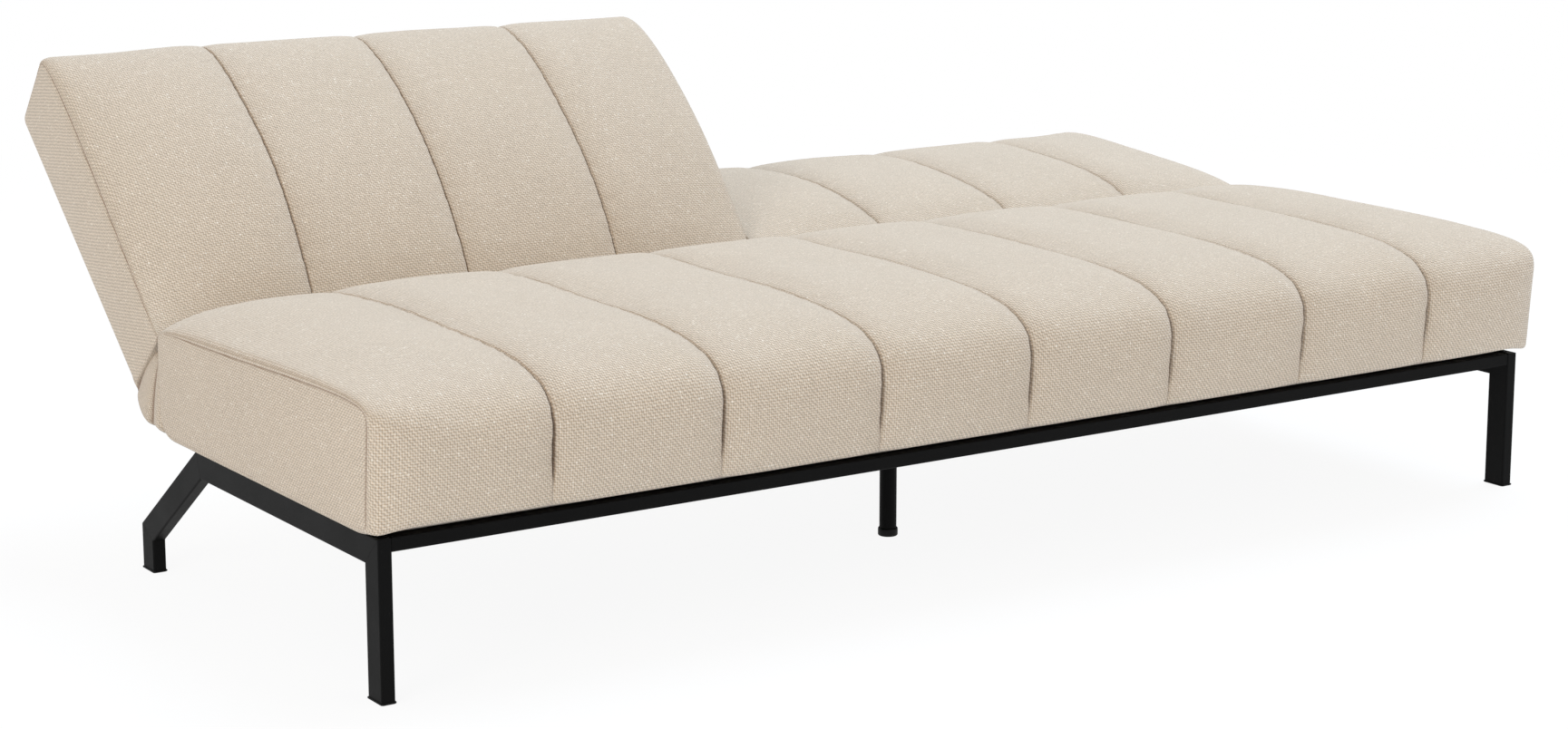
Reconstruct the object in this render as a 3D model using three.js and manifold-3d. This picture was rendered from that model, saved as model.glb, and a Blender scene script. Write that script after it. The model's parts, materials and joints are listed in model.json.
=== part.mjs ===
// A click clack sofa bed: one channelled seat on a black tube frame, and a back in two halves that
// each click between lying flat, reclined and upright. The left half is reclined and the right half flat.
// Millimetres. +X runs along the sofa to its right-hand end seen from the front, the front faces -Y,
// +Z is up, and the origin is on the floor under the middle of the whole sofa.

import * as THREE from 'three';
import { mergeVertices } from 'three/addons/utils/BufferGeometryUtils.js';
import Module from 'manifold-3d';

const wasm = await Module();
wasm.setup();

const degrees = THREE.MathUtils.degToRad;
const blend = THREE.MathUtils.lerp;

// Whole sofa
const frameLength = 1940; // over the outer faces of the two side frames
const seatEndOverhang = 20; // how far the seat's ends stand past the side frames
const frameTop = 210; // top of the tube frame above the floor
const touchGap = 0.3; // left between pieces that rest on each other at an angle or inside a cushion
const cutOverrun = 20;

// Frame tubes
const tubeWide = 19;
const tubeDeep = 38;
const tubeWall = 1.5;
const tubeCornerRadius = 2.5;
const tubeCornerSteps = 3;

// Side frames, measured along Y from the front face of the front legs
const railLength = 541; // to the top corner over the rear strut
const strutAngle = degrees(36); // how steeply the rear strut falls
const rearFootHeight = 65.4; // corner where the strut meets the foot, above the floor
const frontRailSetback = 1;
const rearRailOverrun = 17; // rear cross rail's back past the top corner over the rear strut

// Feet
const capThickness = 3;
const capProud = 1.5;
const middleLegRadius = 12.5;
const middleLegWall = 1.5;
const middleLegSetback = 299; // to the middle leg's axis
const middleCapRadius = 14.5;
const middleCapHeight = 12;
const roundSides = 32;

// Seat cushion: its outline in the Y-Z plane at the bottom of a groove, heights from the frame's top
const seatDepth = 662;
const seatOverhang = 33; // how far the front stands before the front legs
const seatCrown = 193;
const seatCrownSetback = 380; // front face to the crown
const seatFrontShoulder = 110; // top of the front face's straight part
const seatRearShoulder = 128; // top of the rear face's straight part
const seatFrontTaper = 6; // how far the front face draws in at its foot
const seatFootRadius = 44; // lower edge of the front face
const seatEdgeRadius = 16; // lower edge of the rear face
const seatFrontReach = 310; // how far the front edge's curve is drawn out along the top
const seatFrontRise = 68; // how far it is drawn up the front face
const seatRearReach = 200;
const seatRearRise = 42;
const seatEndRearRise = 16; // the same at the end seams

// Seat cushion along its length
const seatChannels = 8;
const channelPuff = 7; // how far a channel stands proud of its grooves
const seatEndDrop = 37; // how far the top falls to the end seams
const seatEndWidth = 175; // length over which it falls
const seatEndTilt = 0.038; // slope of the end seams, lower at the rear
const seatCornerInset = 26; // how far the front draws back at the end seams
const seatCornerWidth = 70;

// Back cushions, in the plane of the back: u runs out from the hinge axis, w stands square to it
const backReach = 505; // hinge axis to the far end face
const backUnder = 106; // hinge axis down to the rear cover
const backCrown = 79; // hinge axis up to the crown at the bottom of a groove
const backCrownReach = 270; // hinge axis out to the crown
const backFarShoulder = 6; // where the far end face starts to round over
const backEdgeRadius = 10;
const backFarReach = 160; // how far the far edge's curve is drawn along the top
const backFarRise = 46; // how far it is drawn up the end face
const backNoseRadius = 14; // rounded edge round the hinge axis
const backNoseAngle = degrees(112); // where the top surface leaves it
const backNoseReach = 130;
const backNoseRun = 54;
const backFrontTaper = 12; // how far the front face leans away from the seat at its foot

// Back cushions along their length
const backChannels = 4;
const backEndHeight = 31; // hinge axis up to the end seams at the crown's place
const backEndTilt = 0.054; // slope of the end seams, higher at the far end
const backEndWidth = 215;
const splitGap = 6; // between the two backs

// Every cushion's end panels
const panelBulge = 9;
const panelShares = [0.86, 0.5]; // size of each ring of a panel beside its seam
const panelBulgeShares = [0.7, 0.97];

// How the cushions' surfaces are divided
const channelPlaceShares = [0.1, 0.35, 0.65, 0.9];
const channelPuffShares = [0.6, 1, 1, 0.6];
const curveSteps = 5;

// Hinge axis of the backs, behind the seat's rear face and below the crown, and the backs' positions
const hingeSetback = 15;
const hingeDrop = 53;
const bedAngle = degrees(2);
const reclinedAngle = degrees(40);
const clickStep = degrees(38);
const clickCount = 3;

// Timber and cloth inside the cushions
const boardHeight = 45;
const boardThickness = 20;
const centreBoardWidth = 76;
const deckThickness = 8;
const clothThickness = 1;
const rearCoverThickness = 2;
const seatPadding = 15; // between the seat's fabric and its boards, at the ends
const seatFrontPadding = 60;
const seatRearPadding = 20;
const backPadding = 20;
const backFarPadding = 18;
const backFrontPadding = 22; // hinge axis to the first board
const hingeGap = 0.3; // beside each hinge plate

// Click clack hinges
const plateThickness = 4;
const plateHalfWidth = 11;
const plateKneeSetback = 80; // hinge axis forward to the knee of the fixed plate
const plateKneeHeight = 26; // frame's top up to the knee
const plateFootLength = 70;
const armHalfWidth = 9;
const armKneeReach = 85; // hinge axis out to the knee of the moving arm
const armKneeDrop = 78;
const armFootLength = 65;
const boltRadius = 4;
const boltClearance = 0.4;
const boltHeadRadius = 7;
const boltHeadHeight = 4;
const sectorRadius = 20;
const sectorMargin = degrees(10);
const notchDepth = 3;
const notchHalfAngle = degrees(8);
const sectorSteps = 4; // between one notch and the next
const catchAngle = degrees(-100); // direction of the catch's tip from the hinge axis
const catchFootRun = 50; // hinge axis along the plate to the catch's foot
const catchHalfWidth = 2;
const catchWidth = 3.5;
const pocketSide = 8; // room beside the plates for the bolt's ends
const seatPocketTop = 3; // room above the hinge axis in the seat
const backPocketTop = 10; // and in a back
const backSlotTop = 18; // and before its axis, where the fixed plate passes with the back upright

// Fabric gussets between the seat and the backs
const gussetThickness = 4;
const gussetBulge = 6;
const gussetSteps = 8;
const gussetInset = 9; // from the cushions' end seams to the gusset's end walls
const gussetApexDrop = 24; // hinge axis down to the top of the end walls
const gussetSeatRadius = 113; // hinge axis to the gusset where it leaves the seat
const gussetBackRadius = 98; // and where it meets the back
const gussetGap = 0.4;

// Places that follow, along Y from the front face of the legs and up from the floor
const sofaLength = frameLength + 2 * seatEndOverhang;
const rearFootReach = railLength + (frameTop - rearFootHeight) / Math.tan(strutAngle);
const rearRailReach = railLength + rearRailOverrun;
const seatFront = -seatOverhang;
const seatRear = seatFront + seatDepth;
const hingeY = seatRear + hingeSetback;
const hingeZ = frameTop + seatCrown - hingeDrop;
const sofaFront = seatFront - channelPuff;
const sofaRear = hingeY + backReach * Math.cos(bedAngle) + (backUnder - backEdgeRadius) * Math.sin(bedAngle);
const halfLength = sofaLength / 2;
const sideFrameX = (frameLength - tubeWide) / 2;
const frameInside = frameLength / 2 - tubeWide;

const finish = (color, roughness, metalness) => (
  new THREE.MeshStandardMaterial({ color, roughness, metalness })
);
const blackSteel = () => finish(0x1d1d1c, 0.45, 0.3);
const blackPlastic = () => finish(0x141414, 0.55, 0);
const beigeFabric = () => finish(0xcdbfae, 0.95, 0);
const blackCloth = () => finish(0x1a1a1a, 1, 0);
const pine = () => finish(0xc9a877, 0.75, 0);
const plywood = () => finish(0xb98f5c, 0.7, 0);
const zincSteel = () => finish(0x9a9b9d, 0.4, 1);

const xAxis = new THREE.Vector3(1, 0, 0);
const yAxis = new THREE.Vector3(0, 1, 0);
const zAxis = new THREE.Vector3(0, 0, 1);

// The sofa's pieces stand in a group whose Y is measured from the front legs, and each back in a group
// whose Y and Z are that back's u and w.
const sofa = new THREE.Group();
const base = new THREE.Group();
base.position.y = -(sofaFront + sofaRear) / 2;
sofa.add(base);

function backGroup(angle) {
  const group = new THREE.Group();
  group.position.set(0, hingeY, hingeZ);
  group.rotation.x = angle;
  base.add(group);
  return group;
}

function add(parent, name, geometry, material) {
  const mesh = new THREE.Mesh(geometry, material);
  mesh.name = name;
  parent.add(mesh);
}

function fromFaces(points, faces) {
  const geometry = new THREE.BufferGeometry();
  geometry.setAttribute('position', new THREE.Float32BufferAttribute(points.flat(), 3));
  geometry.setIndex(faces.flat());
  geometry.computeVertexNormals();
  return geometry;
}

function toSolid(geometry) {
  const bare = geometry.clone();
  bare.deleteAttribute('normal');
  bare.deleteAttribute('uv');
  const merged = mergeVertices(bare);
  return new wasm.Manifold(new wasm.Mesh({
    numProp: 3,
    vertProperties: Float32Array.from(merged.attributes.position.array),
    triVerts: Uint32Array.from(merged.index.array),
  }));
}

function toGeometry(solid) {
  const mesh = solid.getMesh();
  const geometry = new THREE.BufferGeometry();
  geometry.setAttribute('position', new THREE.BufferAttribute(mesh.vertProperties, 3));
  geometry.setIndex(new THREE.BufferAttribute(mesh.triVerts, 1));
  geometry.computeVertexNormals();
  return geometry;
}

function joined(first, ...others) {
  return toGeometry(others.reduce((solid, other) => solid.add(toSolid(other)), toSolid(first)));
}

function cutAway(first, ...others) {
  return toGeometry(others.reduce((solid, other) => solid.subtract(toSolid(other)), toSolid(first)));
}

// A box between two values on each axis
function block(xRange, yRange, zRange) {
  const ranges = [xRange, yRange, zRange];
  const size = ranges.map(([low, high]) => Math.abs(high - low));
  const middle = ranges.map(([low, high]) => (low + high) / 2);
  return new THREE.BoxGeometry(...size).translate(...middle);
}

// An outline in the Y-Z plane, run along X between two places
function alongX(outline, [from, to]) {
  const depth = Math.abs(to - from);
  const geometry = new THREE.ExtrudeGeometry(outline, { depth, bevelEnabled: false, curveSegments: 8 });
  const turn = new THREE.Matrix4().makeBasis(yAxis, zAxis, xAxis);
  return geometry.applyMatrix4(turn).translate(Math.min(from, to), 0, 0);
}

// A turned solid, its profile given as [radius, place along the axis] pairs
function turned(profile) {
  const points = profile.map(([radius, place]) => new THREE.Vector2(radius, place));
  return new THREE.LatheGeometry(points, roundSides);
}

function roundedRectangle(wide, deep, radius) {
  const corners = [[1, 1], [-1, 1], [-1, -1], [1, -1]];
  return corners.flatMap(([signWide, signDeep], quarter) => (
    Array.from({ length: tubeCornerSteps + 1 }, (_, step) => {
      const angle = (quarter + step / tubeCornerSteps) * Math.PI / 2;
      return [
        signWide * (wide / 2 - radius) + radius * Math.cos(angle),
        signDeep * (deep / 2 - radius) + radius * Math.sin(angle),
      ];
    })
  ));
}

// A straight open tube from a point on its middle line. A cut's slope moves that end along the tube
// with the depth, for a mitre.
function tube({ start, along, deepAxis, wide, deep, length, startSlope = 0, endSlope = 0 }) {
  const wideAxis = new THREE.Vector3().crossVectors(deepAxis, along);
  const outer = roundedRectangle(wide, deep, tubeCornerRadius);
  const inner = roundedRectangle(wide - 2 * tubeWall, deep - 2 * tubeWall, tubeCornerRadius - tubeWall);
  const ring = (section, offset, slope) => section.map(([across, depth]) => (
    start.clone()
      .addScaledVector(wideAxis, across)
      .addScaledVector(deepAxis, depth)
      .addScaledVector(along, offset + depth * slope)
      .toArray()
  ));
  const rings = [
    ring(outer, 0, startSlope),
    ring(outer, length, endSlope),
    ring(inner, length, endSlope),
    ring(inner, 0, startSlope),
  ];
  const faces = rings.flatMap((_, index) => bandFaces(index, (index + 1) % rings.length, outer.length));
  return fromFaces(rings.flat(), faces);
}

// Faces between two rings of points that have the same count
function bandFaces(first, second, count) {
  return Array.from({ length: count }, (_, i) => {
    const next = (i + 1) % count;
    const [a, b] = [first * count + i, first * count + next];
    const [c, d] = [second * count + next, second * count + i];
    return [a, b, c, a, c, d];
  });
}

// Side frames: leg, rail, strut and foot, joined by mitres
const strutAlong = new THREE.Vector3(0, Math.cos(strutAngle), -Math.sin(strutAngle));
const strutDeep = new THREE.Vector3(0, Math.sin(strutAngle), Math.cos(strutAngle));
const kneeSlope = Math.tan(strutAngle / 2);
const ankleSlope = Math.tan((Math.PI / 2 - strutAngle) / 2);
const strutRun = (rearFootReach - railLength) / Math.cos(strutAngle);
const kneeShift = kneeSlope * tubeDeep / 2;
const ankleShift = ankleSlope * tubeDeep / 2;

function sideFrame(side, x) {
  const section = { wide: tubeWide, deep: tubeDeep };
  add(base, `${side}_front_leg`, tube({
    ...section,
    start: new THREE.Vector3(x, tubeDeep / 2, capThickness),
    along: zAxis,
    deepAxis: yAxis,
    length: frameTop - capThickness - tubeDeep / 2 - touchGap,
    endSlope: -1,
  }), blackSteel());
  add(base, `${side}_side_rail`, tube({
    ...section,
    start: new THREE.Vector3(x, tubeDeep / 2, frameTop - tubeDeep / 2),
    along: yAxis,
    deepAxis: zAxis,
    length: railLength - tubeDeep / 2 - kneeShift,
    startSlope: -1,
    endSlope: kneeSlope,
  }), blackSteel());
  add(base, `${side}_rear_strut`, tube({
    ...section,
    start: new THREE.Vector3(x, railLength, frameTop)
      .addScaledVector(strutDeep, -tubeDeep / 2)
      .addScaledVector(strutAlong, kneeShift + touchGap),
    along: strutAlong,
    deepAxis: strutDeep,
    length: strutRun - kneeShift - ankleShift - 2 * touchGap,
    startSlope: -kneeSlope,
    endSlope: ankleSlope,
  }), blackSteel());
  add(base, `${side}_rear_foot`, tube({
    ...section,
    start: new THREE.Vector3(x, rearFootReach - tubeDeep / 2, capThickness),
    along: zAxis,
    deepAxis: yAxis,
    length: rearFootHeight - ankleShift - capThickness,
    endSlope: ankleSlope,
  }), blackSteel());
  const footPlaces = { front: tubeDeep / 2, rear: rearFootReach - tubeDeep / 2 };
  for (const [end, y] of Object.entries(footPlaces)) {
    const reachX = tubeWide / 2 + capProud;
    const reachY = tubeDeep / 2 + capProud;
    add(base, `${side}_${end}_foot_cap`, block(
      [x - reachX, x + reachX],
      [y - reachY, y + reachY],
      [0, capThickness],
    ), blackPlastic());
  }
}

sideFrame('left', -sideFrameX);
sideFrame('right', sideFrameX);

// Cross rails, the tube laid flat, and the beam that carries the middle leg
function flatTube(name, start, along, length) {
  add(base, name, tube({
    start,
    along,
    deepAxis: zAxis,
    wide: tubeDeep,
    deep: tubeWide,
    length,
  }), blackSteel());
}

const flatTubeZ = frameTop - tubeWide / 2;
const frontRailY = frontRailSetback + tubeDeep / 2;
const rearRailY = rearRailReach - tubeDeep / 2;
const beamStart = frontRailSetback + tubeDeep;
flatTube('front_rail', new THREE.Vector3(-frameInside, frontRailY, flatTubeZ), xAxis, 2 * frameInside);
flatTube('rear_rail', new THREE.Vector3(-frameInside, rearRailY, flatTubeZ), xAxis, 2 * frameInside);
flatTube(
  'middle_beam',
  new THREE.Vector3(0, beamStart, flatTubeZ),
  yAxis,
  rearRailReach - tubeDeep - beamStart,
);

// Middle leg: a round tube in a plastic cup
const legTop = frameTop - tubeWide;
const legBore = middleLegRadius - middleLegWall;
const middleLeg = turned([
  [legBore, capThickness],
  [middleLegRadius, capThickness],
  [middleLegRadius, legTop],
  [legBore, legTop],
  [legBore, capThickness],
]);
const middleCup = turned([
  [0, 0],
  [middleCapRadius, 0],
  [middleCapRadius, middleCapHeight],
  [middleLegRadius + touchGap, middleCapHeight],
  [middleLegRadius + touchGap, capThickness],
  [0, capThickness],
]);
const standing = (geometry) => geometry.rotateX(Math.PI / 2).translate(0, middleLegSetback, 0);
add(base, 'middle_leg', standing(middleLeg), blackSteel());
add(base, 'middle_foot_cap', standing(middleCup), blackPlastic());

// How far along the fall to an end seam a place is, from 0 in the middle to 1 at the seam
function endShare(x, halfWidth, width) {
  return Math.max(0, (Math.abs(x) - (halfWidth - width)) / width);
}

// The seat's outline at the place x. Toward the ends its top falls to the seam and its front draws back.
function seatOutline(x, puffShare, halfWidth) {
  const fall = endShare(x, halfWidth, seatEndWidth) ** 2;
  const inset = seatCornerInset * endShare(x, halfWidth, seatCornerWidth) ** 2;
  const puff = channelPuff * puffShare * (1 - fall);
  const tilt = seatEndTilt * fall;
  const foot = frameTop + touchGap;
  const crownY = seatFront + seatCrownSetback;
  const crownZ = frameTop + seatCrown - seatEndDrop * fall + puff;
  const front = seatFront + inset - puff;
  const frontFoot = seatFront + inset + seatFrontTaper;
  const frontShoulder = frameTop + seatFrontShoulder;
  const rearShoulder = frameTop + seatRearShoulder;
  const outline = new THREE.Path();
  outline.moveTo(frontFoot + seatFootRadius, foot);
  outline.lineTo(seatRear - seatEdgeRadius, foot);
  outline.quadraticCurveTo(seatRear, foot, seatRear, foot + seatEdgeRadius);
  outline.lineTo(seatRear, rearShoulder);
  outline.bezierCurveTo(
    seatRear, rearShoulder + blend(seatRearRise, seatEndRearRise, fall),
    crownY + seatRearReach, crownZ - tilt * seatRearReach,
    crownY, crownZ,
  );
  outline.bezierCurveTo(
    crownY - seatFrontReach, crownZ + tilt * seatFrontReach,
    front, frontShoulder + seatFrontRise,
    front, frontShoulder,
  );
  outline.lineTo(frontFoot, foot + seatFootRadius);
  outline.quadraticCurveTo(frontFoot, foot, frontFoot + seatFootRadius, foot);
  return outline;
}

// A back's outline at the place x from its middle, in u and w
function backOutline(x, puffShare, halfWidth) {
  const fall = endShare(x, halfWidth, backEndWidth) ** 2;
  const puff = channelPuff * puffShare * (1 - fall);
  const tilt = backEndTilt * fall;
  const crown = blend(backCrown, backEndHeight, fall) + puff;
  const noseU = backNoseRadius * Math.cos(backNoseAngle);
  const noseW = backNoseRadius * Math.sin(backNoseAngle);
  const noseSlope = Math.tan(backNoseAngle - Math.PI / 2) * (1 - fall) + tilt;
  const frontFoot = -backNoseRadius + backFrontTaper;
  const outline = new THREE.Path();
  outline.moveTo(frontFoot + backEdgeRadius, -backUnder);
  outline.lineTo(backReach - backEdgeRadius, -backUnder);
  outline.quadraticCurveTo(backReach, -backUnder, backReach, -backUnder + backEdgeRadius);
  outline.lineTo(backReach, backFarShoulder);
  outline.bezierCurveTo(
    backReach, backFarShoulder + backFarRise * (1 - fall / 3),
    backCrownReach + backFarReach, crown + tilt * backFarReach,
    backCrownReach, crown,
  );
  outline.bezierCurveTo(
    backCrownReach - backNoseReach, crown - tilt * backNoseReach,
    noseU + backNoseRun, noseW + backNoseRun * noseSlope,
    noseU, noseW,
  );
  outline.quadraticCurveTo(
    -backNoseRadius, noseW + (-backNoseRadius - noseU) * noseSlope,
    -backNoseRadius, 0,
  );
  outline.lineTo(frontFoot, -backUnder + backEdgeRadius);
  outline.quadraticCurveTo(frontFoot, -backUnder, frontFoot + backEdgeRadius, -backUnder);
  return outline;
}

// A cushion with sewn channels: the outline at each station along its length, from one end seam to the
// other, and end panels that swell out from their seams
function channelledCushion(outlineAt, halfWidth, channels) {
  const seamX = halfWidth - panelBulge;
  const pitch = 2 * seamX / channels;
  const stations = [];
  for (let channel = 0; channel < channels; channel += 1) {
    const start = -seamX + channel * pitch;
    stations.push([start, 0]);
    channelPlaceShares.forEach((share, i) => stations.push([start + share * pitch, channelPuffShares[i]]));
  }
  stations.push([seamX, 0]);
  const rings = stations.map(([x, puff]) => (
    outlineAt(x, puff, seamX).getPoints(curveSteps).slice(0, -1).map(({ x: y, y: z }) => [x, y, z])
  ));
  const count = rings[0].length;
  const middleOf = (ring, axis) => {
    const values = ring.map((point) => point[axis]);
    return (Math.min(...values) + Math.max(...values)) / 2;
  };
  const panel = (ring, side) => panelShares.map((share, i) => {
    const [y, z] = [middleOf(ring, 1), middleOf(ring, 2)];
    const x = side * (seamX + panelBulge * panelBulgeShares[i]);
    return ring.map((point) => [x, blend(y, point[1], share), blend(z, point[2], share)]);
  });
  const all = [...panel(rings[0], -1).reverse(), ...rings, ...panel(rings.at(-1), 1)];
  const faces = all.slice(1).flatMap((_, index) => bandFaces(index, index + 1, count));
  const points = all.flat();
  for (const [ringIndex, side] of [[0, -1], [all.length - 1, 1]]) {
    const ring = all[ringIndex];
    points.push([side * halfWidth, middleOf(ring, 1), middleOf(ring, 2)]);
    for (let i = 0; i < count; i += 1) {
      const edge = [ringIndex * count + i, ringIndex * count + (i + 1) % count];
      faces.push([...(side > 0 ? edge : edge.reverse()), points.length - 1]);
    }
  }
  return fromFaces(points, faces);
}

// Housing for the timber under the seat's padding
const seatBoardX = halfLength - panelBulge - seatPadding;
const seatInnerX = seatBoardX - boardThickness;
const seatBoards = {
  x: [-seatBoardX, seatBoardX],
  y: [seatFront + seatFrontTaper + seatFrontPadding, seatRear - seatRearPadding],
  z: [frameTop + clothThickness, frameTop + clothThickness + boardHeight],
};
const seatDeckTop = seatBoards.z[1] + deckThickness;
const grown = ([low, high], by) => [low - by, high + by];

// Hinges stand at both ends of each back. X is taken from the sofa's middle outward.
const backMiddle = (halfLength + splitGap / 2) / 2;
const backHalfWidth = (halfLength - splitGap / 2) / 2;
const outerPlate = [seatInnerX - plateThickness, seatInnerX];
const outerArm = [outerPlate[0] - hingeGap - plateThickness, outerPlate[0] - hingeGap];
const innerPlate = [centreBoardWidth / 2, centreBoardWidth / 2 + plateThickness];
const innerArm = [innerPlate[1] + hingeGap, innerPlate[1] + hingeGap + plateThickness];
const hinges = {
  outer: { plate: outerPlate, arm: outerArm },
  inner: { plate: innerPlate, arm: innerArm },
};
for (const hinge of Object.values(hinges)) {
  hinge.stack = [Math.min(hinge.plate[0], hinge.arm[0]), Math.max(hinge.plate[1], hinge.arm[1])];
  hinge.pocket = grown(hinge.stack, pocketSide);
}

const sides = { left: -1, right: 1 };
const mirrored = ([low, high], sign) => (sign > 0 ? [low, high] : [-high, -low]);

const seatPockets = Object.values(sides).flatMap((sign) => Object.values(hinges).map(({ pocket }) => block(
  mirrored(pocket, sign),
  [hingeY - plateKneeSetback - plateHalfWidth - plateFootLength, seatRear + cutOverrun],
  [seatBoards.z[1], hingeZ + seatPocketTop],
)));

add(base, 'seat_cushion', cutAway(
  channelledCushion(seatOutline, halfLength, seatChannels),
  block(
    grown(seatBoards.x, touchGap),
    grown(seatBoards.y, touchGap),
    [frameTop - cutOverrun, seatDeckTop + touchGap],
  ),
  ...seatPockets,
), beigeFabric());

// Seat frame: front and rear boards between the end boards, a centre board and a deck
const [seatFrontY, seatRearY] = seatBoards.y;
const crossY = [seatFrontY + boardThickness, seatRearY - boardThickness];
add(base, 'seat_left_board', block([-seatBoardX, -seatInnerX], seatBoards.y, seatBoards.z), pine());
add(base, 'seat_right_board', block([seatInnerX, seatBoardX], seatBoards.y, seatBoards.z), pine());
add(base, 'seat_front_board', block(
  [-seatInnerX, seatInnerX],
  [seatFrontY, seatFrontY + boardThickness],
  seatBoards.z,
), pine());
add(base, 'seat_rear_board', block(
  [-seatInnerX, seatInnerX],
  [seatRearY - boardThickness, seatRearY],
  seatBoards.z,
), pine());
add(base, 'seat_centre_board', block(
  [-centreBoardWidth / 2, centreBoardWidth / 2],
  crossY,
  seatBoards.z,
), pine());
add(base, 'seat_deck', cutAway(
  block(seatBoards.x, seatBoards.y, [seatBoards.z[1], seatDeckTop]),
  ...seatPockets,
), plywood());
add(base, 'seat_dust_cloth', block(
  seatBoards.x,
  seatBoards.y,
  [frameTop, frameTop + clothThickness],
), blackCloth());

// A flat bar with round ends, as an outline between two points
function barOutline([fromY, fromZ], [toY, toZ], halfWidth) {
  const angle = Math.atan2(toZ - fromZ, toY - fromY);
  const outline = new THREE.Shape();
  outline.absarc(toY, toZ, halfWidth, angle - Math.PI / 2, angle + Math.PI / 2);
  outline.absarc(fromY, fromZ, halfWidth, angle + Math.PI / 2, angle + 3 * Math.PI / 2);
  outline.closePath();
  return outline;
}

function boltHole(xRange, y, z) {
  const radius = boltRadius + boltClearance;
  const hole = turned([[0, xRange[0] - cutOverrun], [radius, xRange[0] - cutOverrun],
    [radius, xRange[1] + cutOverrun], [0, xRange[1] + cutOverrun]]);
  return hole.rotateZ(-Math.PI / 2).translate(0, y, z);
}

// The fixed plate: its foot lies on a seat board and its knee turns up to the hinge axis
function fixedPlate(xRange) {
  const knee = [hingeY - plateKneeSetback, frameTop + plateKneeHeight];
  const foot = [knee[0] - plateFootLength, knee[1]];
  return cutAway(
    joined(
      alongX(barOutline(foot, knee, plateHalfWidth), xRange),
      alongX(barOutline(knee, [hingeY, hingeZ], armHalfWidth), xRange),
    ),
    boltHole(xRange, hingeY, hingeZ),
  );
}

// The moving arm's notched sector. Its notches pass the catch one click apart.
function sectorOutline() {
  const first = catchAngle - bedAngle;
  const last = first - (clickCount - 1) * clickStep;
  const outline = new THREE.Shape();
  const put = (radius, angle) => outline.lineTo(radius * Math.cos(angle), radius * Math.sin(angle));
  outline.moveTo(0, 0);
  put(sectorRadius, last - sectorMargin);
  for (let click = clickCount - 1; click >= 0; click -= 1) {
    const notch = first - click * clickStep;
    put(sectorRadius, notch - notchHalfAngle);
    put(sectorRadius - notchDepth, notch);
    put(sectorRadius, notch + notchHalfAngle);
    const plain = clickStep - 2 * notchHalfAngle;
    for (let step = 1; click > 0 && step < sectorSteps; step += 1) {
      put(sectorRadius, notch + notchHalfAngle + plain * step / sectorSteps);
    }
  }
  put(sectorRadius, first + sectorMargin);
  outline.closePath();
  return outline;
}

function movingArm(xRange) {
  const knee = [armKneeReach, -armKneeDrop];
  const foot = [knee[0] + armFootLength, knee[1]];
  return cutAway(
    joined(
      alongX(barOutline([0, 0], knee, armHalfWidth), xRange),
      alongX(barOutline(knee, foot, plateHalfWidth), xRange),
      alongX(sectorOutline(), xRange),
    ),
    boltHole(xRange, 0, 0),
  );
}

// The catch: a leaf spring on the fixed plate whose tip lies in a notch of the sector
function catchSpring(xRange) {
  const notchFloor = sectorRadius - notchDepth;
  const notchSide = Math.atan2(
    sectorRadius * Math.sin(notchHalfAngle),
    sectorRadius * Math.cos(notchHalfAngle) - notchFloor,
  );
  const tipRadius = notchFloor + (catchHalfWidth + touchGap) / Math.sin(notchSide);
  const tip = [hingeY + tipRadius * Math.cos(catchAngle), hingeZ + tipRadius * Math.sin(catchAngle)];
  const plateRun = new THREE.Vector2(-plateKneeSetback, frameTop + plateKneeHeight - hingeZ)
    .setLength(catchFootRun);
  const foot = [hingeY + plateRun.x, hingeZ + plateRun.y];
  return alongX(barOutline(foot, tip, catchHalfWidth), xRange);
}

function pivotBolt([from, to]) {
  const start = from - boltClearance;
  const end = to + boltClearance;
  return turned([
    [0, start - boltHeadHeight],
    [boltHeadRadius, start - boltHeadHeight],
    [boltHeadRadius, start],
    [boltRadius, start],
    [boltRadius, end],
    [boltHeadRadius, end],
    [boltHeadRadius, end + boltHeadHeight],
    [0, end + boltHeadHeight],
  ]).rotateZ(-Math.PI / 2).translate(0, hingeY, hingeZ);
}

// Backs: cushion, boards, deck, rear cover and moving arms
const backBoardFloor = -backUnder + rearCoverThickness + touchGap;
const backBoards = {
  u: [backFrontPadding, backReach - backFarPadding],
  w: [backBoardFloor, backBoardFloor + boardHeight],
};
const backBoardX = {
  outer: [outerArm[1] + touchGap, halfLength - panelBulge - backPadding],
  inner: [innerArm[1] + touchGap, innerArm[1] + touchGap + boardThickness],
};
const backHousing = [hinges.inner.pocket[0], backBoardX.outer[1] + touchGap];

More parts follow.
